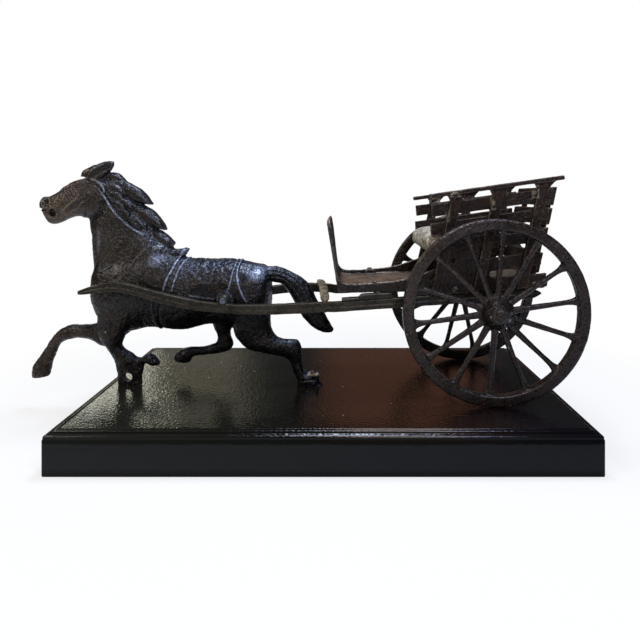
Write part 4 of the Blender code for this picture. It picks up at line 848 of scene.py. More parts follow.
# %% [markdown]
# ## Carving and harness
# The straps, the rein, the eye and the muscles are low relief, cut into the pattern. Each one is a
# height that depends on the distance from a line or a spot, seen from the side. The heights are added
# up and every point moves that far along its own normal.

# %% Relief tools


def smooth_step(value, low, high):
    """0 below low, 1 above high, 3t^2 - 2t^3 between."""
    t = np.clip((value - low) / (high - low), 0, 1)
    return t * t * (3 - 2 * t)


def line_distance(xz, line):
    """Distance of each point from a broken line: the least over the line's straight pieces."""
    start, step = line[:-1], np.diff(line, axis=0)
    offset = xz[:, None] - start
    t = np.clip((offset * step).sum(-1) / (step * step).sum(-1), 0, 1)
    return np.linalg.norm(offset - t[..., None] * step, axis=-1).min(1)


def ridge(xz, line, half, height):
    """A strap or a groove: `height` within `half` mm of a curve, falling to nothing past its edge."""
    path = curve(line, 4)
    near = np.all((xz > path.min(0) - 2 * half) & (xz < path.max(0) + 2 * half), axis=1)
    relief = np.zeros(len(xz))
    relief[near] = height * (1 - smooth_step(line_distance(xz[near], path), 0.55 * half, 1.25 * half))
    return relief


def mound(xz, centre, radii, height):
    """A swelling: height * exp(-(dx / rx)^2 - (dz / rz)^2)."""
    away = ((xz - centre) / radii) ** 2
    return height * np.exp(-away.sum(1))


# %% [markdown]
# ## Harness, face and muscles
# The rein runs from the bridle down the neck, and pairs of straps go over the back and under the
# chest. On the face are the nostril, the mouth, the eye, the cheek's crests and the hollow of the
# ear. All of them are measured beside the toy, in mm.

# %% Harness, face and muscles
PIVOT = (-68.0, 84.8)
BIT_HOLE = (-190.9, 142.5)
HORSE_HALF_WIDTH = 20.95
# Each strap: its course from the side, half its width, its height, and whether it goes all round
STRAPS = (
    (((-164.4, 166), (-160.7, 164.4), (-156.9, 162.4), (-154.8, 159.5), (-154.4, 156.5)), 1.1, 0.9, 0),
    (((-161.2, 160.9), (-158.7, 159.5), (-156.4, 157.2), (-155.5, 154.7)), 0.6, 0.6, 0),
    (((-154.2, 154.5), (-149.6, 146.8), (-143.6, 139.4), (-135.2, 132.2), (-126.4, 126.8)), 0.75, 1.2, 0),
    (((-182.6, 145), (-178.4, 148.1), (-172.6, 152.4)), 0.8, 0.55, 0),
    (((-181.6, 143), (-176.6, 146.4), (-170.6, 150.6), (-165.8, 152.6)), 0.8, -0.35, 0),
    (((-204, 145.0), (-200.6, 144.8), (-196.6, 144.2)), 0.7, -1.1, 1),
    (((-173.4, 163.4), (-171.1, 165.2), (-166.3, 164)), 0.8, 0.5, 0),
    (((-195.0, 152.6), (-193.4, 151.4), (-193.2, 149.4), (-194.4, 147.6)), 0.7, 0.5, 0),
    (((-198.6, 148.8), (-196.8, 147.2), (-195.2, 147.2)), 0.6, -0.6, 0),
    (((-186.6, 158.4), (-179.6, 161.4), (-174.2, 163.0)), 0.9, 0.45, 0),
    (((-177.6, 143.4), (-172.8, 145.6), (-168.6, 149.4)), 0.9, 0.4, 0),
    (((-163.4, 168.6), (-158, 171.8), (-152.6, 174.8)), 2.3, -0.9, 0),
    (((-165.8, 169.0), (-161.6, 172.9), (-155.4, 175.6)), 0.9, 0.7, 0),
    (((-163, 138.9), (-159, 141.3), (-155.5, 144.8), (-154.8, 149)), 2.6, -1.25, 0),
    (((-121.7, 122.7), (-124.6, 118), (-131, 108.9), (-136.9, 99.8)), 0.8, 0.28, 0),
    (((-154.6, 102.8), (-147.2, 106.2)), 0.9, 0.4, 0),
    (((-100, 119), (-101.4, 114.4), (-104.8, 104.9), (-108.4, 96.1), (-109.9, 89.6)), 0.8, 0.7, 1),
    (((-92, 118), (-93.8, 114.4), (-99, 107.9), (-101.2, 102), (-104.1, 90)), 0.8, 0.7, 1),
    (((-61.4, 117), (-62, 112.6), (-63.9, 102.7), (-65.4, 93.2), (-67, 90)), 0.7, 0.6, 1),
    (((-58, 117), (-59, 112.6), (-61, 104.9), (-60.2, 96.9), (-57.4, 88.9), (-53.7, 82.3)), 0.8, 0.85, 1),
    (((-92.4, 86.7), (-84, 85.4), (-76, 84.6)), 1.0, 0.5, 0),
    (((-117.5, 84), (-117.9, 75.9), (-117.2, 67.1), (-116, 60)), 0.8, 0.6, 1),
    (((-112.2, 82.6), (-114.2, 74.5), (-115, 67.1), (-114.6, 60)), 0.8, -0.8, 1),
    (((-102.1, 112.9), (-98.7, 115.6), (-94.9, 116.9)), 1.3, 0.8, 0),
    (((-214.6, 28.6), (-208, 27.4), (-199, 27.6)), 0.5, -0.2, 1),
    (((-22, 27.0), (-14, 28.4), (-6, 28.2)), 0.5, -0.45, 1),
    (((-118.4, 46), (-118.6, 41), (-117.4, 36.0)), 0.5, -0.4, 1),
    (((-107.6, 42), (-106.4, 37), (-105.2, 33)), 0.5, -0.4, 1),
)
# Grooves between locks of hair, down the neck and along the tail
HAIR_LINES = (
    ((-156, 158.4), (-151.6, 152.4), (-147, 146.4), (-141.8, 140.4), (-134.8, 133.8)),
    ((-152.6, 158.2), (-148.8, 152.6), (-144.2, 146.6), (-138.6, 139)),
    ((-42, 101.6), (-33, 100.6), (-25, 97.4), (-17, 90.4), (-11, 80.6), (-4.6, 68)),
    ((-42, 98.6), (-33, 97.4), (-26.4, 93.8), (-19.4, 85.4), (-13, 73.6), (-5.4, 63.4)),
    ((-42, 96), (-33, 94.6), (-28, 90.6), (-21.6, 81.2), (-15.4, 69.4), (-8, 61.6)),
)
# Each swelling: its centre, its two radii and its height
MUSCLES = (
    ((-196.4, 150.1), (1.7, 1.5), -1.5), ((-170, 162.4), (2.6, 1.5), 1.1), ((-170, 161.8), (1.1, 0.8), -0.8),
    ((-161.2, 155.6), (3.4, 3.4), 1.2), ((-166, 147.5), (8, 7), 0.7), ((-166.6, 139.4), (2, 1.6), 0.8),
    ((-106.2, 114.9), (3.6, 2.6), 1.3), ((-47.0, 98.8), (7.2, 7.0), 1.6), ((-118.9, 110.6), (7.5, 6.5), 1.1),
    ((-123.6, 81.3), (7, 6), 0.5), ((-156, 92), (8, 14), -0.6), ((-138, 84), (9, 8), 0.6),
    ((-90, 68), (16, 6), -0.4), ((-9.4, 32.9), (1.4, 1.4), 0.7), ((-5.6, 32.0), (1.6, 1.3), 0.7),
    ((-148, 112), (9, 14), -0.5), ((-158.6, 118), (3, 16), 0.5), ((-80, 88), (12, 8), -0.4),
    ((-205, 37), (4, 2.6), 0.5), ((-200, 45), (3, 3), -0.3), ((-189, 55), (5, 4), 0.6),
    ((-171, 57), (5, 3), 0.4), ((-20, 36), (3, 2.4), 0.5), ((-24, 47), (4, 3), 0.5),
    ((-42, 52), (5, 4), 0.5), ((-76, 47), (4, 3), 0.5), ((-102, 41), (3, 2.5), 0.5),
    ((-52, 74), (9, 9), 0.6), ((-139, 41), (4, 3), 0.4), ((-145, 60), (5, 5), 0.5),
)


def relief(xz, muscles=True):
    """Sum of straps, hair lines and swellings on the flank, and apart from it the straps all round."""
    flank, back = np.zeros(len(xz)), np.zeros(len(xz))
    for line, half, height, over in STRAPS:
        if over:
            back += ridge(xz, line, half, height)
        else:
            flank += ridge(xz, line, half, height)
    for line in HAIR_LINES:
        flank += ridge(xz, line, 0.6, -0.55)
    for centre, radii, height in MUSCLES:
        if muscles or height < -0.7:
            flank += mound(xz, centre, radii, height)
    if muscles:
        ring = np.linalg.norm(xz - BIT_HOLE, axis=1)
        flank += 0.6 * np.exp(-((ring - 3.6) / 0.8) ** 2)
    return flank, back


def carve(obj):
    """Move each point along its normal by the relief, the face's strokes and casting waves."""
    points, normals = read_points(obj)
    xz = points[:, [0, 2]]
    flank, back = relief(xz)
    sideways = smooth_step(np.abs(normals[:, 1]), 0.12, 0.45)
    height = flank * sideways + back
    # Slanting strokes on the face, and a back that is rougher than the rest
    face = smooth_step(-np.abs(xz[:, 0] + 178.7), -8, -5) * smooth_step(-np.abs(xz[:, 1] - 154.5), -6.5, -4)
    height += face * 0.3 * np.sin(2.2 * (xz[:, 0] + 0.8 * xz[:, 1])) * sideways
    rough = smooth_step(-np.abs(xz[:, 0] + 80), -18, -10) * smooth_step(xz[:, 1], 92, 100)
    height += (0.17 + 0.25 * rough) * waves(points, 1.6, 11) + 0.3 * waves(points, 4.5, 12)
    clear = smooth_step(np.linalg.norm(xz - PIVOT, axis=1), 5.5, 8.5)
    moved = points + normals * (height * clear)[:, None]
    moved[:, 1] = np.clip(moved[:, 1], -HORSE_HALF_WIDTH, HORSE_HALF_WIDTH)
    write_points(obj, moved)


carve(horse)
print("relief carved")

# %% [markdown]
# ## Two halves
# A toy like this is cast in two halves that meet on its centre plane and are riveted together. The
# body is cut there, 0.15 mm to each side, and bored for the pin, the front rivet and the bit. The
# left half also has the open hole in its fore foot's plate and the bores for the screws from below.

# %% Horse halves
SIDES = {"left": -1, "right": 1}
HALF_GAP = 0.15
FRONT_RIVET = (-138.0, 93.0)
FORE_HOLE = (-136.3, 30.0)
# Painted highlights on the neck's front edge, the rump and the withers, and painted shade on the neck
# under the jaw: centre, radii, amount
PAINTED_HIGHLIGHTS = (((-157.5, 124), (3.0, 16), 0.5), ((-47, 101), (10, 6.5), 0.75), ((-117, 110), (8, 8), 0.5))
PAINTED_JAW_SHADE = ((-141, 136), (10, 13), 0.7)


def across(sign, inner, outer):
    """Two places across the toy on one side, low one first."""
    return sorted((sign * inner, sign * outer))


def crate(low, high):
    """A box between two corners, as a skin of two rings."""
    (x0, y0, z0), (x1, y1, z1) = low, high
    ring = np.array([(x0, 0, z0), (x1, 0, z0), (x1, 0, z1), (x0, 0, z1)], float)
    return skin(np.stack([ring + (0, y, 0) for y in (y0, y1)]))


def keep_values(obj, name, values):
    """Store one number for each point of the mesh under a name that a material can read."""
    layer = obj.data.attributes.new(name, "FLOAT", "POINT")
    layer.data.foreach_set("value", values.astype(np.float32))


def mark_carving(obj):
    """Keep the relief at each point as an attribute, with painted highlights and painted shade added, so that
    the finish can follow the carving.
    """
    points, normals = read_points(obj)
    xz = points[:, [0, 2]]
    flank, back = relief(xz, muscles=False)
    carved = flank * smooth_step(np.abs(normals[:, 1]), 0.12, 0.45) + back
    # Painted highlights on the neck's front edge, the withers and the rump
    carved += sum(mound(xz, *patch) for patch in PAINTED_HIGHLIGHTS)
    # Below the shafts, where their shade falls, the straps are painted as dark as the rest, and under
    # the jaw the neck is darkened as painted shade
    shaded = (1 - smooth_step(xz[:, 1], 78, 86)) * smooth_step(xz[:, 1], 40, 50)
    carved = np.minimum(carved, 0) + np.maximum(carved, 0) * (1 - shaded) - mound(xz, *PAINTED_JAW_SHADE)
    # Painted shade inside the bit hole
    hole = np.linalg.norm(xz - BIT_HOLE, axis=1)
    carved -= 2.0 * (1 - smooth_step(hole, 2.6, 3.0)) * smooth_step(-np.abs(points[:, 1]), -7.0, -6.0)
    keep_values(obj, "carved", carved)


def mark_glints(obj, patches):
    """Painted glints inside boxes (low, high, amount), broken up by waves 1.5 mm across."""
    points, _ = read_points(obj)
    paint = np.zeros(len(points))
    for low, high, amount in patches:
        low, high = np.array(low, float), np.array(high, float)
        inside = smooth_step(points, low - 0.7, low) * (1 - smooth_step(points, high, high + 0.7))
        paint = np.maximum(paint, amount * inside.prod(1))
    keep_values(obj, "paint", paint * smooth_step(waves(points, 1.5, 81), -0.45, 0.25))


def horse_half(side, sign):
    """The body on one side of the parting plane, with the boss that the cart's pin goes through."""
    half = horse.copy()
    half.data = horse.data.copy()
    bpy.context.scene.collection.objects.link(half)
    near, far = across(sign, HALF_GAP, 60.0)
    combine(half, "INTERSECT", build("keep", crate((-240, near, 18.3), (40, far, 200))))
    low, high = across(sign, 12.0, 21.8)
    combine(half, "UNION", build("boss", turned([(5.6, low), (5.6, high)], (PIVOT[0], 0, PIVOT[1]), 64)))
    combine(half, "DIFFERENCE", build("under", crate((-155.5, -90, 0), (40, 90, BOARD[2] + 0.3))))
    for (x, z), radius in ((PIVOT, 2.2), (FRONT_RIVET, 2.2), (BIT_HOLE, 2.5)):
        bore(half, radius, -90, 90, (x, 0, z))
    if sign < 0:
        bore(half, 3.1, -90, -0.1, (FORE_HOLE[0], 0, FORE_HOLE[1]))
        for x, y in SCREW_PLACES:
            bore(half, SCREW_BORE, 20.0, 33.3, (x, y, 0), "Z")
    mark_carving(half)
    # Painted glints on the bulbs of the near hind heel
    mark_glints(half, [((-12.8, -20, 31.4), (-4.8, -9, 35), 1.0)])
    return finish(half, f"carved_horse_{side}", "horse_on_board", horse_iron, "horse_cast_iron",
                  f"horse_{side}_half", sharp=60)


for side, sign in SIDES.items():
    horse_half(side, sign)
bpy.data.objects.remove(horse)

# %% [markdown]
# ## The cart's own frame
# The whole cart leans 4 degrees down to the horse. Its pieces are worked out level, with the axle as
# the origin, and one function turns and moves them into place.

# %% Cart frame
LEAN = math.radians(4)
AXLE = np.array([105.3, 0.0, 82.1])
SHAFT_Y = 34.5
FLOOR_HALF = 35.8


def from_cart(points):
    """x = u cos - w sin, z = u sin + w cos, then the move to the axle."""
    u, y, w = np.moveaxis(np.asarray(points, float), -1, 0)
    c, s = math.cos(LEAN), math.sin(LEAN)
    return np.stack([u * c - w * s, y, u * s + w * c], -1) + AXLE


def to_cart(x, z):
    """The same turn backwards, for a place measured beside the toy."""
    dx, dz = x - AXLE[0], z - AXLE[2]
    c, s = math.cos(LEAN), math.sin(LEAN)
    return dx * c + dz * s, -dx * s + dz * c


def lean(*parts):
    """Turn skins worked out in the cart's frame into their place."""
    return [(from_cart(points), sizes, corners) for points, sizes, corners in parts]


print("the pin in the cart's frame:", [round(v, 1) for v in to_cart(*PIVOT)])

# %% [markdown]
# ## Shafts
# Each shaft is a thin bar cast with two beads along the lower half of its outer face. It curves along
# the horse and then runs straight under the cart. The section below is carried along the course: flat
# inside, and outside flat above and two half sine waves below.

# %% Shafts
# The course from the tip to the cart: X, top edge, bottom edge, and distance from the centre plane
SHAFT_COURSE = (
    (-163.8, 91.2, 88.9, 25.2), (-160, 92.8, 88.9, 25), (-154, 94.6, 89.6, 24.8),
    (-146.5, 96.3, 90.6, 24.6), (-138.5, 96.9, 90.4, 24.4), (-129, 95.3, 88.7, 24.3),
    (-118.5, 92.4, 85.6, 24.3), (-107, 89.4, 82.2, 24.3), (-95, 86.8, 79.6, 24.4),
    (-84, 84.5, 77.9, 24.6), (-70, 82.8, 76.9, 25), (-54, 82.2, 76, 26.3), (-36, 82.9, 76.4, 28.4),
    (-18, 84.1, 77.6, 31.2), (0, 85.4, 79.1, 33.6),
)
# How far the right shaft bows above the left one, from where and over what length
RIGHT_BOW, BOW_START, BOW_LENGTH = 4.2, -68, 76


def shaft_section():
    """(across, up) pairs round the bar; across is in mm and up in half heights of the bar."""
    v = np.linspace(-0.93, 0.93, 33)
    bead = np.where(v < 0, 0.55 * np.abs(np.sin(2 * np.pi * v)) ** 0.7, 0.0)
    outer = np.stack([2.45 + bead, v], -1)
    inner = np.stack([np.full(9, -3.0), np.linspace(0.93, -0.93, 9)], -1)
    return np.vstack([outer, [(1.9, 1.0), (-2.5, 1.0)], inner, [(-2.5, -1.0), (1.9, -1.0)]])


def shaft_grid(sign):
    """The section at each place of the course: place + (0, across, up * half height)."""
    course = []
    for x, top, bottom, side in SHAFT_COURSE:
        bows = sign > 0 and 0 < x - BOW_START < BOW_LENGTH
        lift = RIGHT_BOW * math.sin(math.pi * (x - BOW_START) / BOW_LENGTH) if bows else 0.0
        u, w = to_cart(x, (top + bottom) / 2 + lift)
        course.append((u, w, (top - bottom) / 2, side))
    course += [(u, 7.3, 3.2, SHAFT_Y) for u in (-97, -80, -60, -30, 0, 20, 27.5)]
    course.append((33.5, 7.3, 0.5, SHAFT_Y))
    u, w, half, side = curve(course, 5).T[..., None]
    a, v = shaft_section().T
    return np.stack([u + 0 * a, sign * (side + a), w + v * half], -1)


def make_shaft(side, sign):
    """A bar with its ear on the horse's pin and the lug that the axle goes through."""
    pin = to_cart(*PIVOT)
    ear = turned([(3.2, sign * 22.1), (3.8, sign * 22.7), (3.8, sign * 24.8), (3.5, sign * 26.0),
                  (2.9, sign * 26.9), (2.2, sign * 27.5)], (pin[0], 0, pin[1]))
    low, high = across(sign, 31.5, 43.4)
    lug = plate(((-11, 5.1), (-7, -1), (-4.9, -5.3), (-2.4, -6.4), (0, -6.6), (2.4, -6.4), (4.9, -5.3),
                 (7, -1), (11, 5.1)), low, high)
    shaft = fuse(build("shaft", *lean(skin(shaft_grid(sign)), ear, lug)), 0.42, 2)
    roughen(shaft, 0.10, 0.05, 21)
    bore(shaft, 2.25, -90, 90, (PIVOT[0], 0, PIVOT[1]))
    bore(shaft, 3.1, -90, 90, AXLE)
    return finish(shaft, f"beaded_{side}_shaft", "cart", shaft_iron, "shaft_cast_iron", f"{side}_shaft",
                  sharp=60)


for side, sign in SIDES.items():
    make_shaft(side, sign)

# %% [markdown]
# ## Bar across the shafts and packing pieces
# Behind the tail a pale bar lies across both shafts, painted cream, its paleness partly painted
# light. Its section is a rounded rectangle, and its course bows a little upwards. The packing pieces
# fill the wedge between shaft and foot floor.

# %% Bar and packing


def blunt(wave, power):
    """A sine or cosine pushed outwards: its sign times its size to a power below 1."""
    return np.sign(wave) * np.abs(wave) ** power


def make_bar():
    """Superellipse sections, |cos|^0.6 and |sin|^0.6, carried along a bowed course."""
    route = curve([(-0.7, -36.5, 85.9), (-2.6, 0.0, 87.2), (-6.4, 36.5, 87.7)], 24)
    t = np.linspace(0, 2 * np.pi, 28, endpoint=False)
    a, b = 3.0 * blunt(np.cos(t), 0.6), 1.4 + 1.4 * blunt(np.sin(t), 0.6)
    end = np.sqrt(1 - np.linspace(-1, 1, len(route)) ** 12)[:, None] * 0.5 + 0.5
    x, y, z = route.T[..., None]
    bar = np.stack([x + a * end, y + 0 * a, z + b * end], -1)
    pegs = [turned([(1.35, -7.2), (1.35, 1.0)], place, 24, axis="Z")
            for place in ((-0.7, -34.5, 85.9), (-6.4, 34.5, 87.7))]
    obj = build("bar", skin(bar), *pegs)
    return finish(roughen(fuse(obj, 0.4, 2), 0.35, 0.2, 31), "painted_cross_bar", "cart", dull_cream,
                  "cream_painted_iron", "shaft_crossbar")


def foot_underside(u):
    """The foot floor's underside falls 1.9 mm towards the rear."""
    return 15.9 - 1.9 * (u + 96.5) / 42.5


def make_packing(side, sign):
    """A long strip with a taller block, extruded across the shaft."""
    under = foot_underside(-68.5) - 0.35
    outline = ((-94.6, 10.9), (-61.4, 10.9), (-62, 12.6), (-62.6, under - 0.3), (-68.5, under),
               (-81.5, under), (-83.5, 12.6), (-94.6, 12.6))
    obj = fuse(build("packing", *lean(plate(outline, *across(sign, 31.5, 37.5)))), 0.4, 2)
    return finish(roughen(obj, 0.06, 0.04, 33), f"cast_{side}_packing", "cart", shaft_iron, "shaft_cast_iron",
                  f"{side}_bolster")


make_bar()
for side, sign in SIDES.items():
    make_packing(side, sign)

# %% [markdown]
# ## Foot floor and bed
# One casting: an upright dash in front, the driver's sunk foot floor, and the bed for the load. Low
# flanges run along both sides and rise under the seat. It is drawn as outlines from the side, each
# extruded across, and fused so that the corners inside become fillets.

# %% Floor casting


def make_cart_floor():
    """Three kinds of plate, the floor, the flanges and the rivet pads, less the dash's top corners."""
    top = curve(((-98.1, 62.0), (-96.4, 31.0), (-95.4, 22.6), (-92.6, 19.2), (-86.0, 18.3),
                 (-70.0, 17.9), (-54.0, 17.4), (-46.0, 16.4)), 4)
    floor = np.vstack([top, [(38, 16.4), (39, 14.9), (38, 10.9), (-46, 10.9), (-54, foot_underside(-54)),
                             (-96.5, 15.9), (-100.7, 61.4), (-100.3, 63.6), (-99.4, 64.3), (-98.5, 63.6)]])
    edge = curve(((-96.6, 30.0), (-95.2, 25.0), (-90.0, 21.6), (-72.0, 21.0), (-56.0, 21.7),
                  (-46.0, 23.6), (-37.0, 26.0), (-31.0, 27.6)), 4)
    flange = np.vstack([edge, [(-30, 15.4), (-46, 11.9), (-54, 15.0), (-96.5, 16.9)]])
    parts = [plate(floor, -FLOOR_HALF, FLOOR_HALF)]
    for sign in (-1, 1):
        parts.append(plate(flange, *across(sign, FLOOR_HALF - 2.4, FLOOR_HALF)))
        parts.append(plate(((-76.9, 16.4), (-68.1, 16.4), (-69.1, 21.15), (-75.9, 21.15)),
                           *across(sign, 29.6, 34.6)))
    obj = build("floor", *lean(*parts))
    turn = np.linspace(0, np.pi / 2, 9)
    for sign in (-1, 1):
        round_off = np.stack([FLOOR_HALF - 8 + 8 * np.sin(turn), 56.4 + 8 * np.cos(turn)], -1)
        outline = np.vstack([round_off, [(FLOOR_HALF + 3, 56.4), (FLOOR_HALF + 3, 68), (FLOOR_HALF - 8, 68)]])
        ring = np.stack([0 * outline[:, 0], sign * outline[:, 0], outline[:, 1]], -1)
        corner = skin(np.stack([ring + (u, 0, 0) for u in (-110, -90)]))
        combine(obj, "DIFFERENCE", build("corner", *lean(corner)))
    return finish(roughen(fuse(obj, 0.57, 3), 0.16, 0.10, 41), "cast_cart_floor", "cart", floor_iron,
                  "cart_cast_iron", "cart_floor")


make_cart_floor()

# %% [markdown]
# ## Side racks
# Each side of the cart is an open rack: a top rail, three leaning posts that flare into the rail,
# four slats and a solid panel low in front. A round knob sits on the first post. The slats are thin
# bars with rounded edges, each a little proud of the next.

# %% Racks
POSTS = (-15.4, 11.1, 39.3)
# Boxes of painted glints, pale spots of light: on the knobs and on the posts' front edges
RACK_GLINTS = {"left": (((77.8, -46, 153.6), (85.6, -36, 158.2), 0.9),
                       ((105.4, -43, 145.4), (107.4, -38, 153), 0.5),
                       ((131.8, -43, 152.8), (134.8, -38, 160.6), 0.5),
                       ((76, -43, 138), (78.2, -38, 152), 0.35)),
              "right": (((78.4, 36, 149.4), (86.6, 46, 157), 0.8),)}
# Each slat: front end, rear end, top edge at the front and height
SLATS = ((-33.2, 45.0, 68.8, 8.0), (-34.6, 41.0, 56.6, 7.6), (-4.0, 37.5, 45.4, 7.6),
         (-4.0, 34.0, 31.6, 8.4))
# The right rack sits this much lower than the left one
RIGHT_DROP = 1.8


def sloped(first, last, top, height):
    """A bar that rises 7 mm in 100 along the cart."""
    rise = 0.07 * (last - first)
    return ((first, top), (last, top + rise), (last, top + rise - height), (first, top - height))


def post(place, drop):
    """A leaning post whose sides swing out under the rail."""
    top = 78 - drop + 0.07 * place - 1.35
    flare = np.array(((8, 0), (4.5, 0.8), (2.2, 2.4), (0, 4.6)))

    def side(down, out, way):
        """Points `down` mm below the top and `out` mm beyond the post's half width."""
        w = top - down
        return np.stack([place + 0.29 * (w - 78) + way * (3.3 + out), w], -1)

    right = side(flare[:, 0], flare[:, 1], 1)
    left = side(flare[::-1, 0], flare[::-1, 1], -1)
    foot = np.array([(place + 0.29 * (11.8 - 78) + way * 3.3, 11.8) for way in (-1, 1)])
    return np.vstack([foot, right, left])


def make_rack(side, sign):
    """All the bars as plates, fused, then drilled for the panel's hole."""
    slat_y, post_y = across(sign, 36.1, 39.1), across(sign, 38.5, 41.5)
    drop = RIGHT_DROP if sign > 0 else 0.0
    parts = [plate(sloped(-34, 51.2, 75.62 - drop, 2.7), *across(sign, 36.5, 43.5))]
    parts += [plate(post(place, drop), *post_y) for place in POSTS]
    parts += [plate(sloped(first, last, top - drop, height), *slat_y) for first, last, top, height in SLATS]
    panel = ((-31, 47), (1, 47), (1, 20), (37, 20), (35, 10.9), (-37, 10.9), (-37, 20), (-31, 26))
    parts.append(plate(panel, *slat_y))
    t = np.linspace(0.15, np.pi / 2 - 0.05, 8)
    dome = np.stack([2.7 * np.cos(t), 1.6 * np.sin(t)], -1)
    for way, seat in ((1, 41.5), (-1, 38.5)):
        knob = [(2.7, sign * 40)] + [(r, sign * (seat + way * h)) for r, h in dome]
        parts.append(turned(knob, (-17.7, 0, 73.6 - drop), 40))
    rack = fuse(build("rack", *lean(*parts)), 0.42, 2)
    roughen(rack, 0.10, 0.05, 51)
    x, _, z = from_cart((-21.7, 0, 32.3))
    bore(rack, 2.2, -90, 90, (x, 0, z))
    # Painted glints on the knobs and the posts' front edges
    mark_glints(rack, RACK_GLINTS[side])
    return finish(rack, f"cast_{side}_rack", "cart", cart_iron, "cart_cast_iron", f"{side}_rack", sharp=60)


for side, sign in SIDES.items():
    make_rack(side, sign)

# %% [markdown]
# ## Seat and tailgate
# The seat is a rounded roll across the cart, painted cream, its paleness partly painted light. Its
# section is a superellipse, fuller than an ellipse, and its ends draw in. The tailgate is four boards on
# two leaning stiles.

# %% Seat and tailgate


def make_seat():
    """|cos|^0.8 and |sin|^0.8 sections across the cart, shrinking over the last millimetre."""
    y = np.concatenate([[-35.8, -35.6, -35.1, -34.3], np.linspace(-33, 33, 45), [34.3, 35.1, 35.6, 35.8]])
    shrink = np.minimum(np.sqrt(np.clip((35.9 - np.abs(y)) / 1.4, 0.1, 1)), 1)
    shrink = (0.86 + 0.14 * shrink)[:, None]
    t = np.linspace(0, 2 * np.pi, 72, endpoint=False)
    u = -25.3 + shrink * 12.5 * blunt(np.cos(t), 0.8)
    w = 43.0 + shrink * 7.6 * blunt(np.sin(t), 0.8)
    roll = skin(np.stack([u, y[:, None] + 0 * u, w], -1))
    pegs = turned([(1.35, -38.6), (1.35, 38.6)], (-27.5, 0, 42.5), 24)
    obj = roughen(fuse(build("seat", *lean(roll, pegs)), 0.5, 2), 0.22, 0.14, 61)
    return finish(obj, "painted_seat", "cart", cream, "cream_painted_iron", "seat")


def make_tailgate():
    """Boards and stiles lean back 29 mm in 100."""

    def leaning(low, high, offset, thickness):
        """Side view of a board between two heights, `offset` mm behind the tailgate's front."""
        def at(w, extra):
            return 29.6 + 0.29 * (w - 16.4) + offset + extra, w
        return at(low, 0), at(low, thickness), at(high, thickness), at(high, 0)

    parts = [plate(leaning(16.7, 73, 2.1, 2.6), y - 3, y + 3) for y in (-23, 23)]
    parts += [plate(leaning(low, high, 0, 2.6), -FLOOR_HALF, FLOOR_HALF)
              for low, high in ((20.2, 33), (37.8, 48.8), (50.6, 61.2), (62.9, 74.6))]
    obj = roughen(fuse(build("tailgate", *lean(*parts)), 0.45, 2), 0.10, 0.05, 63)
    return finish(obj, "cast_tailgate", "cart", cart_iron, "cart_cast_iron", "tailgate")


make_seat()
make_tailgate()

# %% [markdown]
# ## Wheels
# Fourteen spokes join a heavy rim to a domed hub. In sand the pattern needs draft, so every spoke is
# thickest in the middle and tapers to its edges, and swells where it meets the rim and the hub. The
# rim and the hub are profiles turned about the axle.

# %% Wheels
WHEEL_Y = 51.0


def spoke(turn, sign):
    """A lens-shaped section that shrinks along the spoke and widens by an eased curve at both ends."""
    r = np.array([5.0, 8.0, 9.5, 11.5, 14.0, 20, 30, 40, 44.5, 47.0, 49.0, 50.5, 52.5])
    width = np.array([6.6, 5.6, 4.8, 4.3, 4.1, 3.8, 3.4, 3.1, 3.3, 3.9, 5.0, 6.8, 8.5]) / 2
    depth = np.array([5.0, 4.4, 4.0, 3.7, 3.6, 3.5, 3.3, 3.1, 3.1, 3.2, 3.5, 4.0, 4.4]) / 2
    t = np.linspace(0, 2 * np.pi, 16, endpoint=False)
    a = width[:, None] * blunt(np.cos(t), 0.85)
    b = depth[:, None] * blunt(np.sin(t), 0.75)
    x = math.sin(turn) * r[:, None] + math.cos(turn) * a
    z = math.cos(turn) * r[:, None] - math.sin(turn) * a
    return skin(np.stack([x, sign * b, z], -1))


def make_wheel(side, sign, first):
    """Rim, hub and spokes, fused; the hub has its bore for the axle."""
    rim = [(50.7, -2.6), (51.6, -3.3), (56.6, -3.35), (57.5, -2.9), (57.8, -1.2), (57.8, 1.2), (57.5, 2.9),
           (56.6, 3.35), (51.6, 3.3), (50.7, 2.6)]
    hub = [(3.25, -7.1), (6.9, -7.1), (7.8, -6.3), (8.0, -3.0), (9.4, -1.6), (9.8, 1.4), (9.3, 3.0),
           (8.7, 4.4), (7.9, 5.8), (6.9, 7.2), (5.9, 8.3), (5.2, 8.55), (3.25, 8.55)]
    parts = [turned(rim, places=240, closed=True), turned([(r, sign * y) for r, y in hub], closed=True)]
    parts += [spoke(math.radians(first + 360 * i / 14), sign) for i in range(14)]
    wheel = fuse(build("wheel", *parts), 0.465, 3)
    points, normals = read_points(wheel)
    height = 0.10 * waves(points, 4.0, 71) + 0.05 * waves(points, 1.3, 72)
    points += normals * (height * smooth_step(np.hypot(points[:, 0], points[:, 2]), 4.5, 9))[:, None]
    reach = np.hypot(points[:, 0], points[:, 2])
    points[:, [0, 2]] *= np.minimum(1, 57.75 / reach)[:, None]
    write_points(wheel, points + AXLE + (0, sign * WHEEL_Y, 0))
    return finish(wheel, f"spoked_{side}_wheel", f"{side}_wheel_body", wheel_iron, "wheel_cast_iron",
                  f"{side}_wheel")


make_wheel("left", -1, 4.8)
make_wheel("right", 1, 14.2)

# %% [markdown]
# ## Pins and axle
# The pivot pin and the axle are soft iron rods whose ends were hammered over. The hammer leaves low,
# uneven domes, so both are turned from profiles, fused and then roughened. The pin's ends carry a
# painted highlight, and the washers between the hub and the axle's ends are darkened as painted shade.

# %% Pins and axle


def rounded_end(radius, seat, height, places=7):
    """Half of an ellipse: radius cos t and seat + height sin t, from the rim to near the middle."""
    t = np.linspace(0.0, 1.45, places)
    return [(radius * math.cos(a), seat + height * math.sin(a)) for a in t]


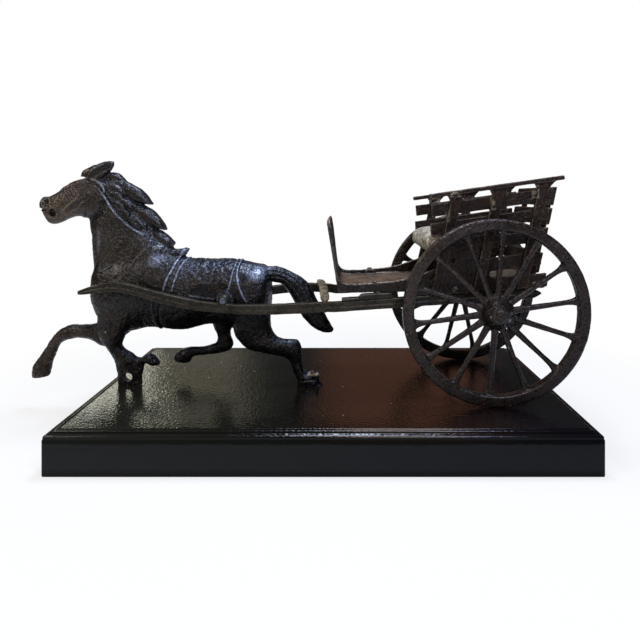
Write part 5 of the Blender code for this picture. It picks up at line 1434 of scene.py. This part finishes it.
def headed_rod(name, radius, seat, head, height, centre, painted_highlight, body, material, slot, node):
    """A rod whose two ends are hammered into domes; `painted_highlight` is how strongly a highlight is
    painted on them.
    """
    end = rounded_end(head, seat, height)
    profile = [(r, -y) for r, y in end[::-1]] + [(radius, -seat), (radius, seat)] + end
    rod = fuse(build(name, turned(profile, centre, 48)), 0.35, 2)
    points, normals = read_points(rod)
    outside = smooth_step(np.abs(points[:, 1]), seat + 0.1, seat + 0.5)
    points += normals * (0.16 * waves(points, 1.9, 91) * outside)[:, None]
    write_points(rod, points)
    keep_values(rod, "carved", painted_highlight * outside)
    return finish(rod, name, body, material, slot, node)


def make_washer(side, sign):
    """A ring with rounded edges between two places along the axle."""
    low, high = 59.9, 60.8
    ring = [(3.25, low), (4.7, low), (5.1, low + 0.25), (5.0, high - 0.3), (4.5, high), (3.25, high)]
    washer = build("washer", turned([(r, sign * y) for r, y in ring], AXLE, closed=True))
    # Painted shade: the washer lies in the dark recess round the axle's end
    keep_values(washer, "carved", np.full(len(washer.data.vertices), -0.7))
    return finish(washer, f"shade_darkened_{side}_washer", "cart", wheel_iron, "wheel_cast_iron", f"{side}_washer",
                  sharp=50)


# A painted highlight on the pivot pin's ends, none on the axle's
headed_rod("hammered_pivot_pin", 1.9, 28.4, 2.4, 0.7, (PIVOT[0], 0, PIVOT[1]), 0.55,
           "horse_on_board", horse_iron, "horse_cast_iron", "pivot_pin")
headed_rod("hammered_axle", 2.9, 61.1, 3.7, 1.2, AXLE, 0.0, "cart",
           wheel_iron, "wheel_cast_iron", "axle")
for side, sign in SIDES.items():
    make_washer(side, sign)

# %% [markdown]
# ## Rivets and screws
# These small parts keep the CAD model's own meshes, and take the finish of the piece they hold.

# %% Rivets and screws
SMALL = {"horse_front_rivet": horse_iron, "mounting_screw_front": steel, "mounting_screw_rear": steel}
for side in SIDES:
    for kind in ("body_rivet_front", "body_rivet_rear", "rack_rivet_front", "rack_rivet_rear"):
        SMALL[f"{side}_{kind}"] = cart_iron
for name, material in SMALL.items():
    mesh = frame["nodes"][name].data
    mesh.materials.clear()
    mesh.materials.append(material)
print(len(SMALL), "small parts given a finish")
